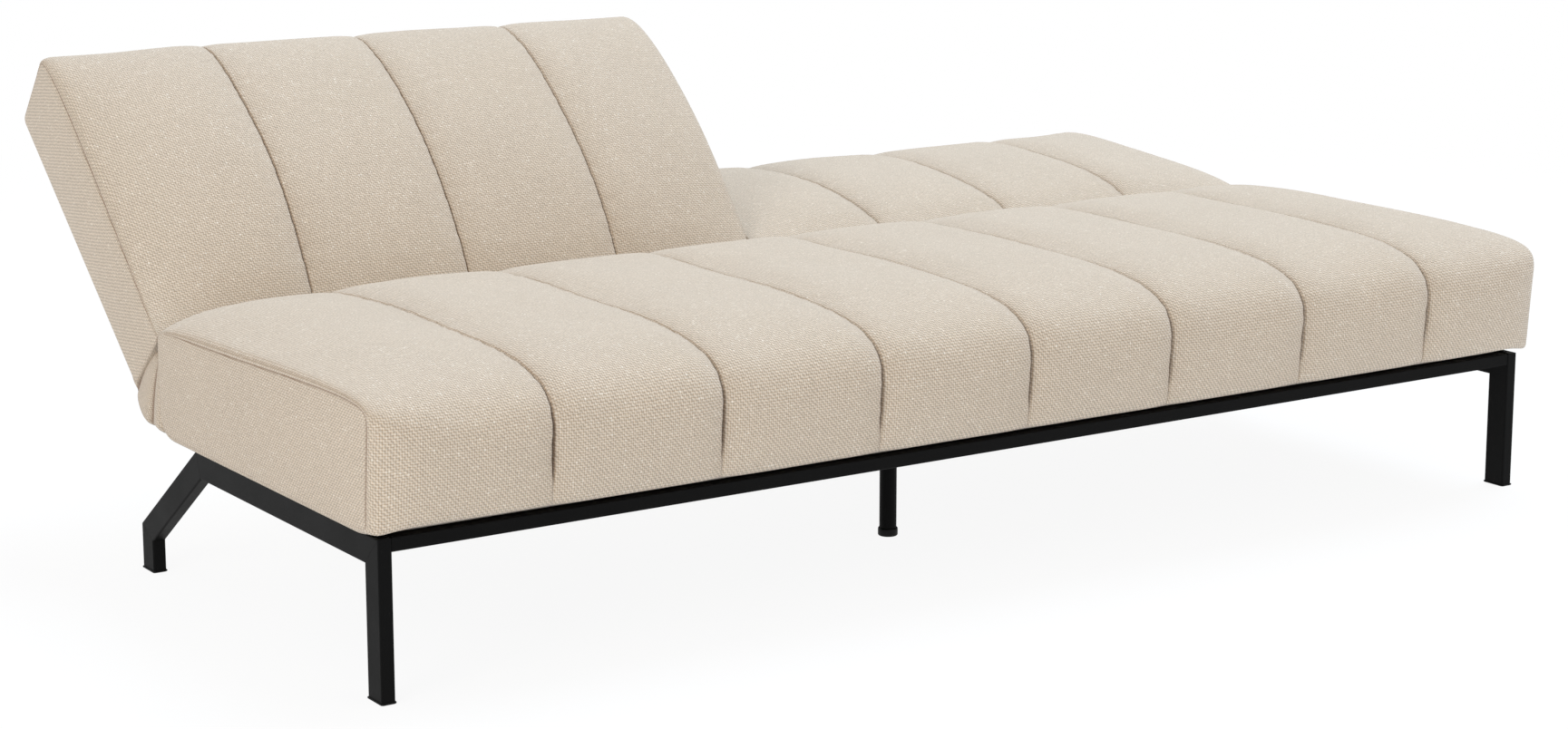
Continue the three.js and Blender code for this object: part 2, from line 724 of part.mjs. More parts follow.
function back(side, sign, angle) {
  const group = backGroup(angle);
  const name = (piece) => `${side}_back_${piece}`;
  const [nearU, farU] = backBoards.u;
  const between = [backBoardX.inner[1] + touchGap, backBoardX.outer[0] - touchGap];
  const deckX = [backBoardX.inner[0], backBoardX.outer[1]];
  const deckW = [backBoards.w[1] + touchGap, backBoards.w[1] + touchGap + deckThickness];
  const slotFront = -backNoseRadius - cutOverrun;
  const pockets = Object.values(hinges).flatMap(({ pocket }) => [
    block(
      mirrored(pocket, sign),
      [slotFront, armKneeReach + plateHalfWidth],
      [backBoards.w[1], backPocketTop],
    ),
    block(mirrored(pocket, sign), [slotFront, 0], [backBoards.w[1], backSlotTop]),
  ]);
  add(group, name('cushion'), cutAway(
    channelledCushion(backOutline, backHalfWidth, backChannels).translate(sign * backMiddle, 0, 0),
    block(
      mirrored(backHousing, sign),
      grown(backBoards.u, touchGap),
      [-backUnder - cutOverrun, deckW[1] + touchGap],
    ),
    ...pockets,
  ), beigeFabric());
  for (const [end, xRange] of Object.entries(backBoardX)) {
    add(group, name(`${end}_board`), block(mirrored(xRange, sign), backBoards.u, backBoards.w), pine());
  }
  add(group, name('near_board'), block(
    mirrored(between, sign),
    [nearU, nearU + boardThickness],
    backBoards.w,
  ), pine());
  add(group, name('far_board'), block(
    mirrored(between, sign),
    [farU - boardThickness, farU],
    backBoards.w,
  ), pine());
  add(group, name('deck'), cutAway(
    block(mirrored(deckX, sign), backBoards.u, deckW),
    ...pockets,
  ), plywood());
  add(group, name('rear_cover'), block(
    mirrored(deckX, sign),
    backBoards.u,
    [-backUnder, -backUnder + rearCoverThickness],
  ), beigeFabric());
  for (const [end, { plate, arm, stack }] of Object.entries(hinges)) {
    const hingeName = (piece) => `${side}_${end}_hinge_${piece}`;
    const catchX = plate[0] > arm[0]
      ? [plate[0] - hingeGap - catchWidth, plate[0] - hingeGap]
      : [plate[1] + hingeGap, plate[1] + hingeGap + catchWidth];
    add(group, hingeName('arm'), movingArm(mirrored(arm, sign)), zincSteel());
    add(base, hingeName('plate'), fixedPlate(mirrored(plate, sign)), zincSteel());
    add(base, hingeName('bolt'), pivotBolt(mirrored(stack, sign)), zincSteel());
    add(base, hingeName('catch'), catchSpring(mirrored(catchX, sign)), zincSteel());
  }
  add(base, `${side}_gusset`, gusset(sign, angle), beigeFabric());
}

// The gusset closes the wedge under the hinge axis between the seat's rear face and the back's front
// face: a bulging strip along the sofa, with a wall at each end
function gusset(sign, angle) {
  const strip = [];
  const seatSide = -Math.PI / 2 - Math.asin((hingeSetback - gussetGap) / gussetSeatRadius);
  const backLean = backNoseRadius - backFrontTaper + gussetGap;
  const backSide = angle - Math.PI / 2 - Math.asin(backLean / gussetBackRadius);
  for (let step = 0; step <= gussetSteps; step += 1) {
    const share = step / gussetSteps;
    strip.push({
      angle: blend(seatSide, backSide, share),
      radius: blend(gussetSeatRadius, gussetBackRadius, share)
        + gussetBulge * Math.sin(share * Math.PI) * (angle / reclinedAngle),
    });
  }
  const at = (radius, turn) => new THREE.Vector2(
    hingeY + radius * Math.cos(turn),
    hingeZ + radius * Math.sin(turn),
  );
  const outside = strip.map((point) => at(point.radius, point.angle));
  const inside = strip.map((point) => at(point.radius - gussetThickness, point.angle)).reverse();
  const frontLean = (backFrontTaper * gussetApexDrop) / (backUnder - backEdgeRadius);
  const apexBack = new THREE.Vector2(-backNoseRadius + frontLean - gussetGap, -gussetApexDrop)
    .rotateAround(new THREE.Vector2(), angle)
    .add(new THREE.Vector2(hingeY, hingeZ));
  const apexSeat = new THREE.Vector2(hingeY - hingeSetback + gussetGap, hingeZ - gussetApexDrop);
  const seamX = halfLength - panelBulge - gussetInset;
  const nearX = splitGap / 2 + gussetInset;
  const strips = alongX(new THREE.Shape([...outside, ...inside]), mirrored([nearX, seamX], sign));
  const wall = (xRange) => alongX(
    new THREE.Shape([...outside, apexBack, apexSeat]),
    mirrored(xRange, sign),
  );
  return joined(
    strips,
    wall([seamX - gussetThickness, seamX]),
    wall([nearX, nearX + gussetThickness]),
  );
}

back('left', sides.left, reclinedAngle);
back('right', sides.right, bedAngle);

export default sofa;
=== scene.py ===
# A click clack sofa bed: one channelled seat on a black tube frame, and a back in two halves that each
# click between flat, reclined and upright. Metres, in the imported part's own frame.
import json
import math

import bpy
import numpy as np
from mathutils import Euler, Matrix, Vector


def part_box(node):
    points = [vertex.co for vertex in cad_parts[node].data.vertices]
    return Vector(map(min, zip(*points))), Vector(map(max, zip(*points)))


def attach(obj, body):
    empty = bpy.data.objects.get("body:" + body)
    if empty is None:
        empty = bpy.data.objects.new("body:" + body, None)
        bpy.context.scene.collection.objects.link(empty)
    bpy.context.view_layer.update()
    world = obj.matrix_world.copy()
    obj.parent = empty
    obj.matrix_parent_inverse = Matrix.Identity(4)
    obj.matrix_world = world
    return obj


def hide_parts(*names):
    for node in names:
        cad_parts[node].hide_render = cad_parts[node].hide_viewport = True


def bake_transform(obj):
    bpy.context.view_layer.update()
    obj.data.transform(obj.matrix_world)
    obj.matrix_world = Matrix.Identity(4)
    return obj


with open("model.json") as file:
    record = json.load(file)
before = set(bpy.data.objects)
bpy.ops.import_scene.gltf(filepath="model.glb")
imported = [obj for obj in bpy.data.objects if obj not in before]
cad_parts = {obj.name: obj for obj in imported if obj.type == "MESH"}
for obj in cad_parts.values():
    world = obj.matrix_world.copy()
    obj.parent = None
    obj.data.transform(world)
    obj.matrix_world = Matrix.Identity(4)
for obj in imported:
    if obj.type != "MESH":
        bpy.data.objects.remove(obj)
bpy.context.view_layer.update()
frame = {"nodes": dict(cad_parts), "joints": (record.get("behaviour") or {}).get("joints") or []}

scene = bpy.context.scene
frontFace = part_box("left_front_leg")[0].y   # lengths of the frame are measured back from here
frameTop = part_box("front_rail")[1].z
hingeY, hingeZ = frame["joints"][0]["pos_m"][1:]
clickAngles = {"flat": math.radians(2), "reclined": math.radians(40)}


# Shader values that add up and multiply like numbers
class Value:
    def __init__(self, paint, link):
        self.paint = paint
        self.link = link

    def __add__(self, other):
        return self.paint.maths("ADD", self, other)

    def __sub__(self, other):
        return self.paint.maths("SUBTRACT", self, other)

    def __rsub__(self, other):
        return self.paint.maths("SUBTRACT", other, self)

    def __mul__(self, other):
        return self.paint.maths("MULTIPLY", self, other)

    def __truediv__(self, other):
        return self.paint.maths("DIVIDE", self, other)

    def __pow__(self, other):
        return self.paint.maths("POWER", self, other)

    def __abs__(self):
        return self.paint.maths("ABSOLUTE", self)

    def __gt__(self, other):
        return self.paint.maths("GREATER_THAN", self, other)

    __radd__ = __add__
    __rmul__ = __mul__


class Paint:
    # the nodes of one material, or of the world
    def __init__(self, name, kind="materials"):
        self.owner = getattr(bpy.data, kind).new(name)
        self.owner.use_nodes = True
        self.tree = self.owner.node_tree
        self.tree.nodes.clear()

    def node(self, kind, settings=None, inputs=None, output=0):
        made = self.tree.nodes.new("ShaderNode" + kind)
        for key, setting in (settings or {}).items():
            setattr(made, key, setting)
        for key, value in (inputs or {}).items():
            if isinstance(value, Value):
                self.tree.links.new(value.link, made.inputs[key])
            else:
                made.inputs[key].default_value = value
        return Value(self, made.outputs[output]) if made.outputs else None

    def maths(self, operation, *values):
        return self.node("Math", {"operation": operation}, dict(enumerate(values)))

    def sine(self, value):
        return self.maths("SINE", value)

    def floor(self, value):
        return self.maths("FLOOR", value)

    def between(self, value, low, high):
        return self.node("MapRange", {"interpolation_type": "SMOOTHSTEP"},
                         {"Value": value, "From Min": low, "From Max": high})

    def point(self, x, y, z=0.0):
        return self.node("CombineXYZ", inputs={0: x, 1: y, 2: z})

    def axes(self, vector):
        return [self.node("SeparateXYZ", inputs={0: vector}, output=axis) for axis in range(3)]

    def noise(self, vector, scale, detail=2.0):
        return self.node("TexNoise", inputs={"Vector": vector, "Scale": scale, "Detail": detail})

    def tint(self, factor, first, second, way="MIX"):
        return self.node("Mix", {"data_type": "RGBA", "blend_type": way},
                         {0: factor, 6: first, 7: second}, output=2)

    def place(self, kind):
        return self.node("TexCoord", output=kind)

    def bump(self, height, distance, strength):
        return self.node("Bump", inputs={"Height": height, "Distance": distance, "Strength": strength})

    def seen(self):
        # 1 for what the camera sees directly, or in something glossy or clear
        rays = [self.node("LightPath", output=f"Is {ray} Ray") for ray in ("Camera", "Glossy", "Transmission")]
        return self.maths("MAXIMUM", self.maths("MAXIMUM", rays[0], rays[1]), rays[2])

    def finish(self, sockets):
        shader = self.node("BsdfPrincipled", inputs=sockets)
        self.node("OutputMaterial", inputs={"Surface": shader})
        return self.owner


def colour(red, green, blue):
    # a colour as it reads on screen, from 0 to 255, as the linear colour that a shader takes
    def linear(c):
        c /= 255
        return c / 12.92 if c <= 0.04045 else ((c + 0.055) / 1.055) ** 2.4
    return (linear(red), linear(green), linear(blue), 1)


weave = {
    "acrossPitch": 0.0032,   # from one yarn to the next, along the sofa
    "alongPitch": 0.0033,
    "wander": [(16, 0.0012), (130, 0.0018)],   # scale and reach of the yarns' drift
    "yarn": colour(201, 187, 169),
    "paleYarn": colour(212, 203, 189),
    "paleTones": (0.57, 0.78),   # where a yarn turns to the pale colour
    # painted shade: the darker colour of the low gaps between yarns, where the weave's hollows lie in shade
    "hole": colour(166, 144, 119),
    "holeHeights": (0.12, 0.62),
    # painted shade: the dark brown that creases and seams turn to, standing in for the shade in them
    "fold": colour(92, 54, 26),
    "toneSpread": 0.34,      # how far one yarn differs from the next
    "toneLength": 0.22,      # how slowly a yarn's tone changes along it
    "cloudSpread": 0.07,
    "cloudScale": 7,
    "checker": 0.02,         # how much paler the lengthwise yarn is than the crosswise one
    # painted shade: diagonal bands in the cloth's colour, standing in for the yarns' bulges lit from one side
    "slant": 0.15,           # how strongly the weave's diagonals show
    "grain": 0.62,           # speckle of the uneven yarn
    "grainScale": 380,
    "fibre": 0.10,
    "fibreScale": 2600,
    "height": 0.0004,
}


def weaveCloth():
    paint = Paint("beige_basket_weave")
    place = paint.place("UV")
    across, along, _ = paint.axes(place)
    slow, quick = ((paint.noise(place, scale, 1) - 0.5) * reach for scale, reach in weave["wander"])
    drift = slow + quick
    u = (across + drift) / weave["acrossPitch"]
    v = (along - drift) / weave["alongPitch"]
    waveU, waveV = paint.sine(u * math.pi), paint.sine(v * math.pi)
    over = waveU * waveV > 0     # 1 where the lengthwise yarn is on top
    waveU, waveV = abs(waveU), abs(waveV)
    lengthwise = waveU ** 0.65 * waveV ** 0.5
    crosswise = waveV ** 0.65 * waveU ** 0.5
    hump = lengthwise * over + crosswise * (1 - over)
    toneLengthwise = paint.noise(paint.point(paint.floor(u) * 3.17, v * weave["toneLength"]), 1.0)
    toneCrosswise = paint.noise(paint.point(u * weave["toneLength"], paint.floor(v) * 3.17, 5.0), 1.0)
    tone = toneLengthwise * over + toneCrosswise * (1 - over)
    cloud = paint.noise(place, weave["cloudScale"], 3)
    fibre = paint.noise(place, weave["fibreScale"], 1)
    grain = paint.noise(place, weave["grainScale"], 2)
    yarn = paint.tint(paint.between(tone, *weave["paleTones"]), weave["yarn"], weave["paleYarn"])
    # painted shade: the low places between the yarns take the darker hole colour
    base = paint.tint(paint.between(hump, *weave["holeHeights"]), weave["hole"], yarn)
    shade = 1 + (tone - 0.5) * weave["toneSpread"] + (cloud - 0.5) * weave["cloudSpread"]
    shade = shade + (over - 0.5) * weave["checker"]
    shade = shade + (fibre - 0.5) * weave["fibre"] + (grain - 0.5) * weave["grain"]
    # painted shade: diagonal bands for the yarns' bulges lit from one side
    shade = shade + paint.sine((u - v) * math.pi) * weave["slant"]
    relief = hump + (tone - 0.5) * 0.5 + (fibre - 0.5) * 0.25
    cloth = paint.node("BsdfPrincipled", inputs={
        "Base Color": paint.tint(1.0, base, shade, "MULTIPLY"),
        "Roughness": 0.95,
        "Specular IOR Level": 0.15,
        "Sheen Weight": 0.20,
        "Sheen Roughness": 0.55,
        "Normal": paint.bump(relief, weave["height"], 0.8),
    })
    # painted shade: where the point attribute is high, the cloth turns to this matte dark brown, standing in for the
    # shade in creases and seams
    inPaintedShade = paint.node("BsdfPrincipled", inputs={
        "Base Color": weave["fold"],
        "Roughness": 1.0,
        "Specular IOR Level": 0.0,
    })
    shadeAmount = paint.node("Attribute", {"attribute_name": "fold"}, output="Fac")
    both = paint.node("MixShader", inputs={0: shadeAmount, 1: cloth, 2: inPaintedShade})
    paint.node("OutputMaterial", inputs={"Surface": both})
    return paint.owner


coat = {
    "black": colour(10, 10, 10),
    "worn": colour(16, 16, 15),
    "wear": 0.35,            # how worn the palest patches are
    "patchScale": 14,
    "grainScale": 900,
    "roughness": 0.50,
    "height": 0.0005,
}


def powderCoat():
    paint = Paint("black_powder_coat")
    place = paint.place("Object")
    grain = paint.noise(place, coat["grainScale"], 2)
    patch = paint.noise(place, coat["patchScale"], 3)
    worn = paint.between(patch, 0.45, 0.75) * coat["wear"]
    return paint.finish({
        "Base Color": paint.tint(worn, coat["black"], coat["worn"]),
        "Roughness": coat["roughness"] + (patch - 0.5) * 0.16 + (grain - 0.5) * 0.10,
        "Specular IOR Level": 0.07,
        "Normal": paint.bump(grain, coat["height"], 0.35),
    })


plastic = {
    "black": colour(14, 14, 14),
    "scuffed": colour(34, 33, 32),
    "scuff": 0.4,
    "scuffScale": 60,
    "grainScale": 1500,
    "roughness": 0.55,
    "height": 0.0003,
}


def mouldedPlastic():
    paint = Paint("black_moulded_plastic")
    place = paint.place("Object")
    grain = paint.noise(place, plastic["grainScale"], 2)
    scuff = paint.between(paint.noise(place, plastic["scuffScale"], 4), 0.56, 0.75) * plastic["scuff"]
    return paint.finish({
        "Base Color": paint.tint(scuff, plastic["black"], plastic["scuffed"]),
        "Specular IOR Level": 0.15,
        "Roughness": plastic["roughness"] + (grain - 0.5) * 0.2,
        "Normal": paint.bump(grain, plastic["height"], 0.3),
    })


wood = {
    "pine": (colour(216, 184, 136), colour(176, 134, 84), 4.0),   # light, dark and grain scale
    "birch": (colour(205, 168, 118), colour(158, 118, 74), 2.2),
    "stretch": 14.0,         # how much longer the grain is than it is wide
    "bands": 38,
    "poreScale": 9,
    "roughness": 0.68,
    "height": 0.0006,
}


def timber(name, kind, along):
    # along is the axis that the grain runs on
    light, dark, grainScale = wood[kind]
    paint = Paint(name)
    axes = paint.axes(paint.place("Object"))
    place = paint.point(*[axis * (1.0 if i == along else wood["stretch"]) for i, axis in enumerate(axes)])
    rings = paint.noise(place, grainScale, 4)
    pores = paint.noise(place, grainScale * wood["poreScale"], 2)
    bands = abs(paint.sine(rings * wood["bands"]))
    return paint.finish({
        "Base Color": paint.tint(bands * 0.55 + paint.between(pores, 0.5, 0.8) * 0.3, light, dark),
        "Roughness": wood["roughness"] + (pores - 0.5) * 0.3,
        "Normal": paint.bump(bands + pores * 0.6, wood["height"], 0.4),
    })


zinc = {
    "bright": colour(186, 187, 190),
    "dull": colour(140, 141, 143),
    "dullScale": 22,
    "spangleScale": 160,
    "roughness": 0.34,
    "height": 0.0002,
}


def zincPlate():
    paint = Paint("zinc_plated_steel")
    place = paint.place("Object")
    spangle = paint.noise(place, zinc["spangleScale"], 3)
    dull = paint.between(paint.noise(place, zinc["dullScale"], 3), 0.5, 0.72)
    return paint.finish({
        "Base Color": paint.tint(dull, zinc["bright"], zinc["dull"]),
        "Metallic": 1 - dull * 0.25,
        "Roughness": zinc["roughness"] + dull * 0.22 + (spangle - 0.5) * 0.12,
        "Normal": paint.bump(spangle, zinc["height"], 0.25),
    })


felt = {
    "black": colour(24, 24, 25),
    "grey": colour(52, 52, 53),
    "fibreScale": 700,
    "dimplePitch": 0.0022,
    "roughness": 0.9,
    "height": 0.0004,
}


def dustCloth():
    paint = Paint("black_dust_cloth")
    place = paint.place("Object")
    across, along, _ = paint.axes(place)
    fibres = paint.noise(place, felt["fibreScale"], 4)
    turns = math.pi / felt["dimplePitch"]
    dimples = abs(paint.sine(across * turns) * paint.sine(along * turns))
    return paint.finish({
        "Base Color": paint.tint(paint.between(fibres, 0.4, 0.7), felt["black"], felt["grey"]),
        "Roughness": felt["roughness"] + (fibres - 0.5) * 0.15,
        "Normal": paint.bump(fibres * 0.7 + dimples * 0.5, felt["height"], 0.6),
    })


sewing = {
    "stitch": 0.0030,
    "gap": 0.0013,
    "thickness": 0.0008,
    "dark": colour(150, 128, 100),
    "pale": colour(186, 166, 138),
    "twistScale": 1800,
    "height": 0.0003,
}


def thread():
    paint = Paint("beige_thread")
    twist = paint.noise(paint.place("Object"), sewing["twistScale"], 2)
    return paint.finish({
        "Base Color": paint.tint(twist, sewing["dark"], sewing["pale"]),
        "Roughness": 0.8 + (twist - 0.5) * 0.2,
        "Normal": paint.bump(twist, sewing["height"], 0.5),
    })


materials = {
    "beige_fabric": weaveCloth(),
    "black_steel": powderCoat(),
    "black_plastic": mouldedPlastic(),
    "black_cloth": dustCloth(),
    "pine": timber("sawn_pine", "pine", 0),
    "pine_side": timber("sawn_pine_side", "pine", 1),
    "plywood": timber("birch_plywood", "birch", 0),
    "zinc_steel": zincPlate(),
    "thread": thread(),
}
print("materials made")


def meshObject(name, points, faces, material, uvs=None):
    mesh = bpy.data.meshes.new(name)
    faces = faces.tolist() if isinstance(faces, np.ndarray) else faces
    mesh.from_pydata(np.asarray(points).tolist(), [], faces)
    mesh.polygons.foreach_set("use_smooth", [True] * len(mesh.polygons))
    if uvs is not None:
        layer = mesh.uv_layers.new(name="UVMap")
        layer.data.foreach_set("uv", np.asarray(uvs, dtype=np.float32).ravel())
    mesh.materials.append(material)
    made = bpy.data.objects.new(name, mesh)
    scene.collection.objects.link(made)
    return made


def setPaintedShade(made, amounts):
    # how much painted shade each point takes, in a crease or beside a seam, for the fabric's material
    attribute = made.data.attributes.new("fold", "FLOAT", "POINT")
    attribute.data.foreach_set("value", np.asarray(amounts, dtype=np.float32))


def bezier(controls, count):
    # a curve of this many points, with as many control points as it is given
    t = np.linspace(0, 1, count)[:, None]
    controls = [np.asarray(c, dtype=float)[None] for c in controls]
    while len(controls) > 1:
        controls = [a + (b - a) * t for a, b in zip(controls, controls[1:])]
    return controls[0]


def lengthsAlong(line):
    # how far each point of a line is from its start
    return np.concatenate([[0], np.cumsum(np.linalg.norm(np.diff(line, axis=0), axis=1))])


def gridQuads(grid):
    # for each square of a grid, the values at its corners
    return [grid[:-1, :-1], grid[1:, :-1], grid[1:, 1:], grid[:-1, 1:]]


def evenly(line, count):
    # the same line with its points at equal distances
    lengths = lengthsAlong(line)
    places = np.linspace(0, lengths[-1], count + 1)
    return np.stack([np.interp(places, lengths, line[:, axis]) for axis in range(2)], axis=1)


def blended(start, end, amount):
    return start + (end - start) * amount


def bell(distance, height, width):
    return height * np.exp(-(distance / width) ** 2)


def smoothStep(value):
    value = np.clip(value, 0, 1)
    return value * value * (3 - 2 * value)


def softly(places, knots, values):
    # values at the knots, carried to other places on smooth curves, along the first axis
    slopes = np.gradient(values, knots, axis=0)
    left = np.clip(np.searchsorted(knots, places) - 1, 0, len(knots) - 2)
    width = (knots[left + 1] - knots[left]).reshape(-1, *[1] * (values.ndim - 1))
    t = (places - knots[left]).reshape(width.shape) / width
    return (
        (2 * t**3 - 3 * t**2 + 1) * values[left] + (t**3 - 2 * t**2 + t) * width * slopes[left]
        + (3 * t**2 - 2 * t**3) * values[left + 1] + (t**3 - t**2) * width * slopes[left + 1]
    )


def ringFaces(count, rings):
    # the quads between rings of points that follow each other, each ring closed round
    index = np.arange(count * rings).reshape(rings, count)
    after = np.roll(index, -1, axis=1)
    return np.stack([index[:-1], after[:-1], after[1:], index[1:]], axis=-1).reshape(-1, 4)


# Each cushion is a run of closed outlines along X. An outline has four sides: its bottom from the front
# corner, its rear going up, its top going forward and its front going down.
seat = {
    "halfLength": 0.990,
    "front": frontFace - 0.033,
    "depth": 0.662,
    "crown": 0.194,              # height of the top above the frame, at the bottom of a groove
    "crownSetback": 0.380,
    "frontShoulder": 0.110,      # where the front face starts to round over
    "frontShoulderEnd": 0.136,   # and the same at the end seams
    "frontReach": 0.310,
    "frontReachEnd": 0.352,
    "frontRise": 0.068,
    "frontRiseEnd": 0.036,
    "frontTaper": 0.006,
    "rearShoulder": 0.141,
    "rearShoulderEnd": (0.137, 0.128),
    "rearReach": 0.235,
    "rearReachEnd": 0.225,
    "rearRise": 0.046,
    "rearRiseEnd": (0.022, 0.016),
    "rearRadius": 0.040,
    "foot": 0.0003,
    "lip": 0.0145,               # how far the front's lower edge hangs above the rail's top
    "lipDepth": 0.046,           # how far back from there the bottom comes to lie on the rail
    "clothLift": 0.0012,         # how far its underside gives way to the cloth below it
    "endFall": (0.019, 0.020),   # how far the top falls toward the left and right ends, before the end roll
    "endWidth": 0.175,
    "endTilt": 0.038,
    "cornerInset": 0.012,        # how far the front draws back toward the ends
    "cornerInsetFoot": 0.003,
    "cornerWidth": 0.070,
    "cornerDrop": 0.75,          # how much of the lip is gone there
    "roll": 0.015,
    "rollRise": 0.008,           # how far the bottom edge lifts at the end seams
    "seamInset": 0.007,
    "grooves": [pitch * 0.2475 for pitch in range(-3, 4)],
    "channelPitch": 0.2475,
    "puff": 0.0115,              # how far a channel stands up between its grooves
    "endPuff": (0.5, 1.0),       # share of it in the channels at the left and right ends
    "valley": 0.048,             # how far beside a groove the cloth comes up
    "creaseDepth": 0.012,
    "rows": (128, 40),           # points on a long and on a short side of the outline
    "secondSeam": 0.0046,        # above the end seam
    "stitchSteps": [0.0046],     # where stitches run, above the end seam
    "stitchedRear": 4,           # rows of them down the rear edge
}

# The outline of a back is in its own plane: out from the hinge axis, and square to that
back = {
    "halfLength": 0.4935,
    "middle": 0.4965,            # from the sofa's middle
    "reach": 0.505,
    "under": 0.106,              # from its underside to the hinge axis
    "clothEdges": (0.022, 0.487),   # of its rear cover
    "clothLift": 0.0024,
    "crown": 0.079,
    "crownReach": 0.270,
    "farShoulder": 0.006,
    "farShoulderEnd": 0.020,
    "farReach": 0.160,
    "farReachEnd": 0.205,
    "farRise": 0.046,
    "farRiseEnd": 0.013,
    "edgeRadius": 0.010,
    "noseRadius": 0.014,
    "noseAngle": math.radians(112),
    "noseReach": 0.130,
    "noseRun": 0.054,
    "noseEnd": 0.0,              # how much of the nose's slope is left at the ends
    "frontTaper": 0.012,
    "endFall": (0.034, 0.013),
    "endWidth": 0.215,
    "endTilt": 0.054,
    "roll": 0.014,
    "seamInset": 0.007,
    "channelPitch": 0.2475,
    "puff": 0.0085,
    "endPuff": (1.0, 1.0),
    "valley": 0.040,
    "creaseDepth": 0.010,
    "rows": (104, 34),
    "secondSeam": None,
    "stitchSteps": [0.0036],
    "stitchedRear": 12,
}


# The back that lies flat is pressed lower, and its ends fall less
flatBack = {
    "crown": 0.064,
    "noseAngle": math.radians(123),
    "noseRun": 0.056,
    "noseEnd": 0.8,
    "farShoulder": -0.002,
    "farReach": 0.125,
    "farRise": 0.040,
    "farRiseEnd": 0.034,
    "endFall": (0.011, 0.013),
    "endTilt": 0.058,
    "puff": 0.011,
}


def nearEnd(spec, x, width):
    # 0 along the cushion, rising to 1 at its end seams
    seamX = spec["halfLength"] - spec["seamInset"]
    return np.clip((np.abs(x) - (seamX - width)) / width, 0, 1) ** 2


def seatOutline(seat, x, drop):
    end = int(x > 0)
    fall = nearEnd(seat, x, seat["endWidth"])
    corner = nearEnd(seat, x, seat["cornerWidth"])
    top = frameTop + seat["crown"] - seat["endFall"][end] * fall - drop
    tilt = seat["endTilt"] * fall
    foot = frameTop + seat["foot"] + seat["rollRise"] * drop / seat["roll"]
    crownY = seat["front"] + seat["crownSetback"]
    front = seat["front"] + seat["cornerInset"] * corner + drop
    frontFoot = front + seat["frontTaper"] + seat["cornerInsetFoot"] * corner
    shoulder = frameTop + blended(seat["frontShoulder"], seat["frontShoulderEnd"], fall)
    rearFall = fall ** 2.2       # the rear edge stays full until closer to the end
    rearTop = top + seat["endFall"][end] * (fall - rearFall)
    rearShoulder = frameTop + blended(seat["rearShoulder"], seat["rearShoulderEnd"][end], rearFall)
    rear = seat["front"] + seat["depth"] - 0.15 * drop
    radius = seat["rearRadius"]
    frontReach = blended(seat["frontReach"], seat["frontReachEnd"], fall)
    rearReach = blended(seat["rearReach"], seat["rearReachEnd"], rearFall)
    lip = foot + seat["lip"] * (1 - seat["cornerDrop"] * corner)
    frontCorner = np.concatenate([
        bezier([(frontFoot, lip + 0.012), (frontFoot, lip + 0.001), (frontFoot + 0.008, lip)], 7),
        bezier([
            (frontFoot + 0.008, lip),
            (frontFoot + 0.028, blended(lip, foot, 0.45)),
            (frontFoot + seat["lipDepth"], foot),
        ], 7)[1:],
    ])
    rearCorner = bezier([(rear - radius, foot), (rear, foot), (rear, foot + radius)], 13)
    overRear = bezier([
        (rear, rearShoulder),
        (rear, rearShoulder + blended(seat["rearRise"], seat["rearRiseEnd"][end], rearFall)),
        (crownY + rearReach, rearTop - tilt * rearReach),
        (crownY, top),
    ], 81)
    overFront = bezier([
        (crownY, top),
        (crownY - frontReach, top + tilt * frontReach),
        (front, shoulder + blended(seat["frontRise"], seat["frontRiseEnd"], fall)),
        (front, shoulder),
    ], 121)
    return [
        np.concatenate([frontCorner[6:], rearCorner[:7]]),
        np.concatenate([rearCorner[6:], overRear[:25]]),
        np.concatenate([overRear[24:], overFront[1:91]]),
        np.concatenate([overFront[90:], frontCorner[:7]]),
    ]


def backOutline(back, x, drop):
    end = int(x > 0)
    fall = nearEnd(back, x, back["endWidth"])
    crown = back["crown"] - back["endFall"][end] * fall - drop
    tilt = back["endTilt"] * fall
    radius = back["edgeRadius"]
    floor = -back["under"] + 0.3 * drop
    reach = back["reach"] - 0.2 * drop
    noseU = back["noseRadius"] * math.cos(back["noseAngle"])
    noseW = back["noseRadius"] * math.sin(back["noseAngle"])
    slope = math.tan(back["noseAngle"] - math.pi / 2) * (1 - fall * (1 - back["noseEnd"])) + tilt
    foot = -back["noseRadius"] + back["frontTaper"]
    farShoulder = blended(back["farShoulder"], back["farShoulderEnd"], fall) - 0.5 * drop
    farReach = blended(back["farReach"], back["farReachEnd"], fall)
    frontCorner = bezier([(foot, floor + radius), (foot, floor), (foot + radius, floor)], 13)
    farCorner = bezier([(reach - radius, floor), (reach, floor), (reach, floor + radius)], 13)
    overFar = bezier([
        (reach, farShoulder),
        (reach, farShoulder + blended(back["farRise"], back["farRiseEnd"], fall)),
        (back["crownReach"] + farReach, crown + tilt * farReach),
        (back["crownReach"], crown),
    ], 101)
    overNose = bezier([
        (back["crownReach"], crown),
        (back["crownReach"] - back["noseReach"], crown - tilt * back["noseReach"]),
        (noseU + back["noseRun"], noseW + back["noseRun"] * slope),
        (noseU, noseW),
    ], 81)
    nose = bezier([
        (noseU, noseW),
        (-back["noseRadius"], noseW + (-back["noseRadius"] - noseU) * slope),
        (-back["noseRadius"], 0),
    ], 17)
    return [
        np.concatenate([frontCorner[6:], farCorner[:7]]),
        np.concatenate([farCorner[6:], overFar[:41]]),
        np.concatenate([overFar[40:], overNose[1:], nose[1:5]]),
        np.concatenate([nose[4:], frontCorner[:7]]),
    ]


# Distances from a groove, and from an end seam, at which the outline is taken
grooveSteps = [0, 0.0008, 0.002, 0.0038, 0.0065, 0.010, 0.016, 0.024, 0.034, 0.047, 0.062, 0.080, 0.100]
seamSteps = [0, 0.0012, 0.0024, 0.0036, 0.0046, 0.0056, 0.0075, 0.0105, 0.014, 0.018]
endStep = 0.014                  # between them, in the end channels


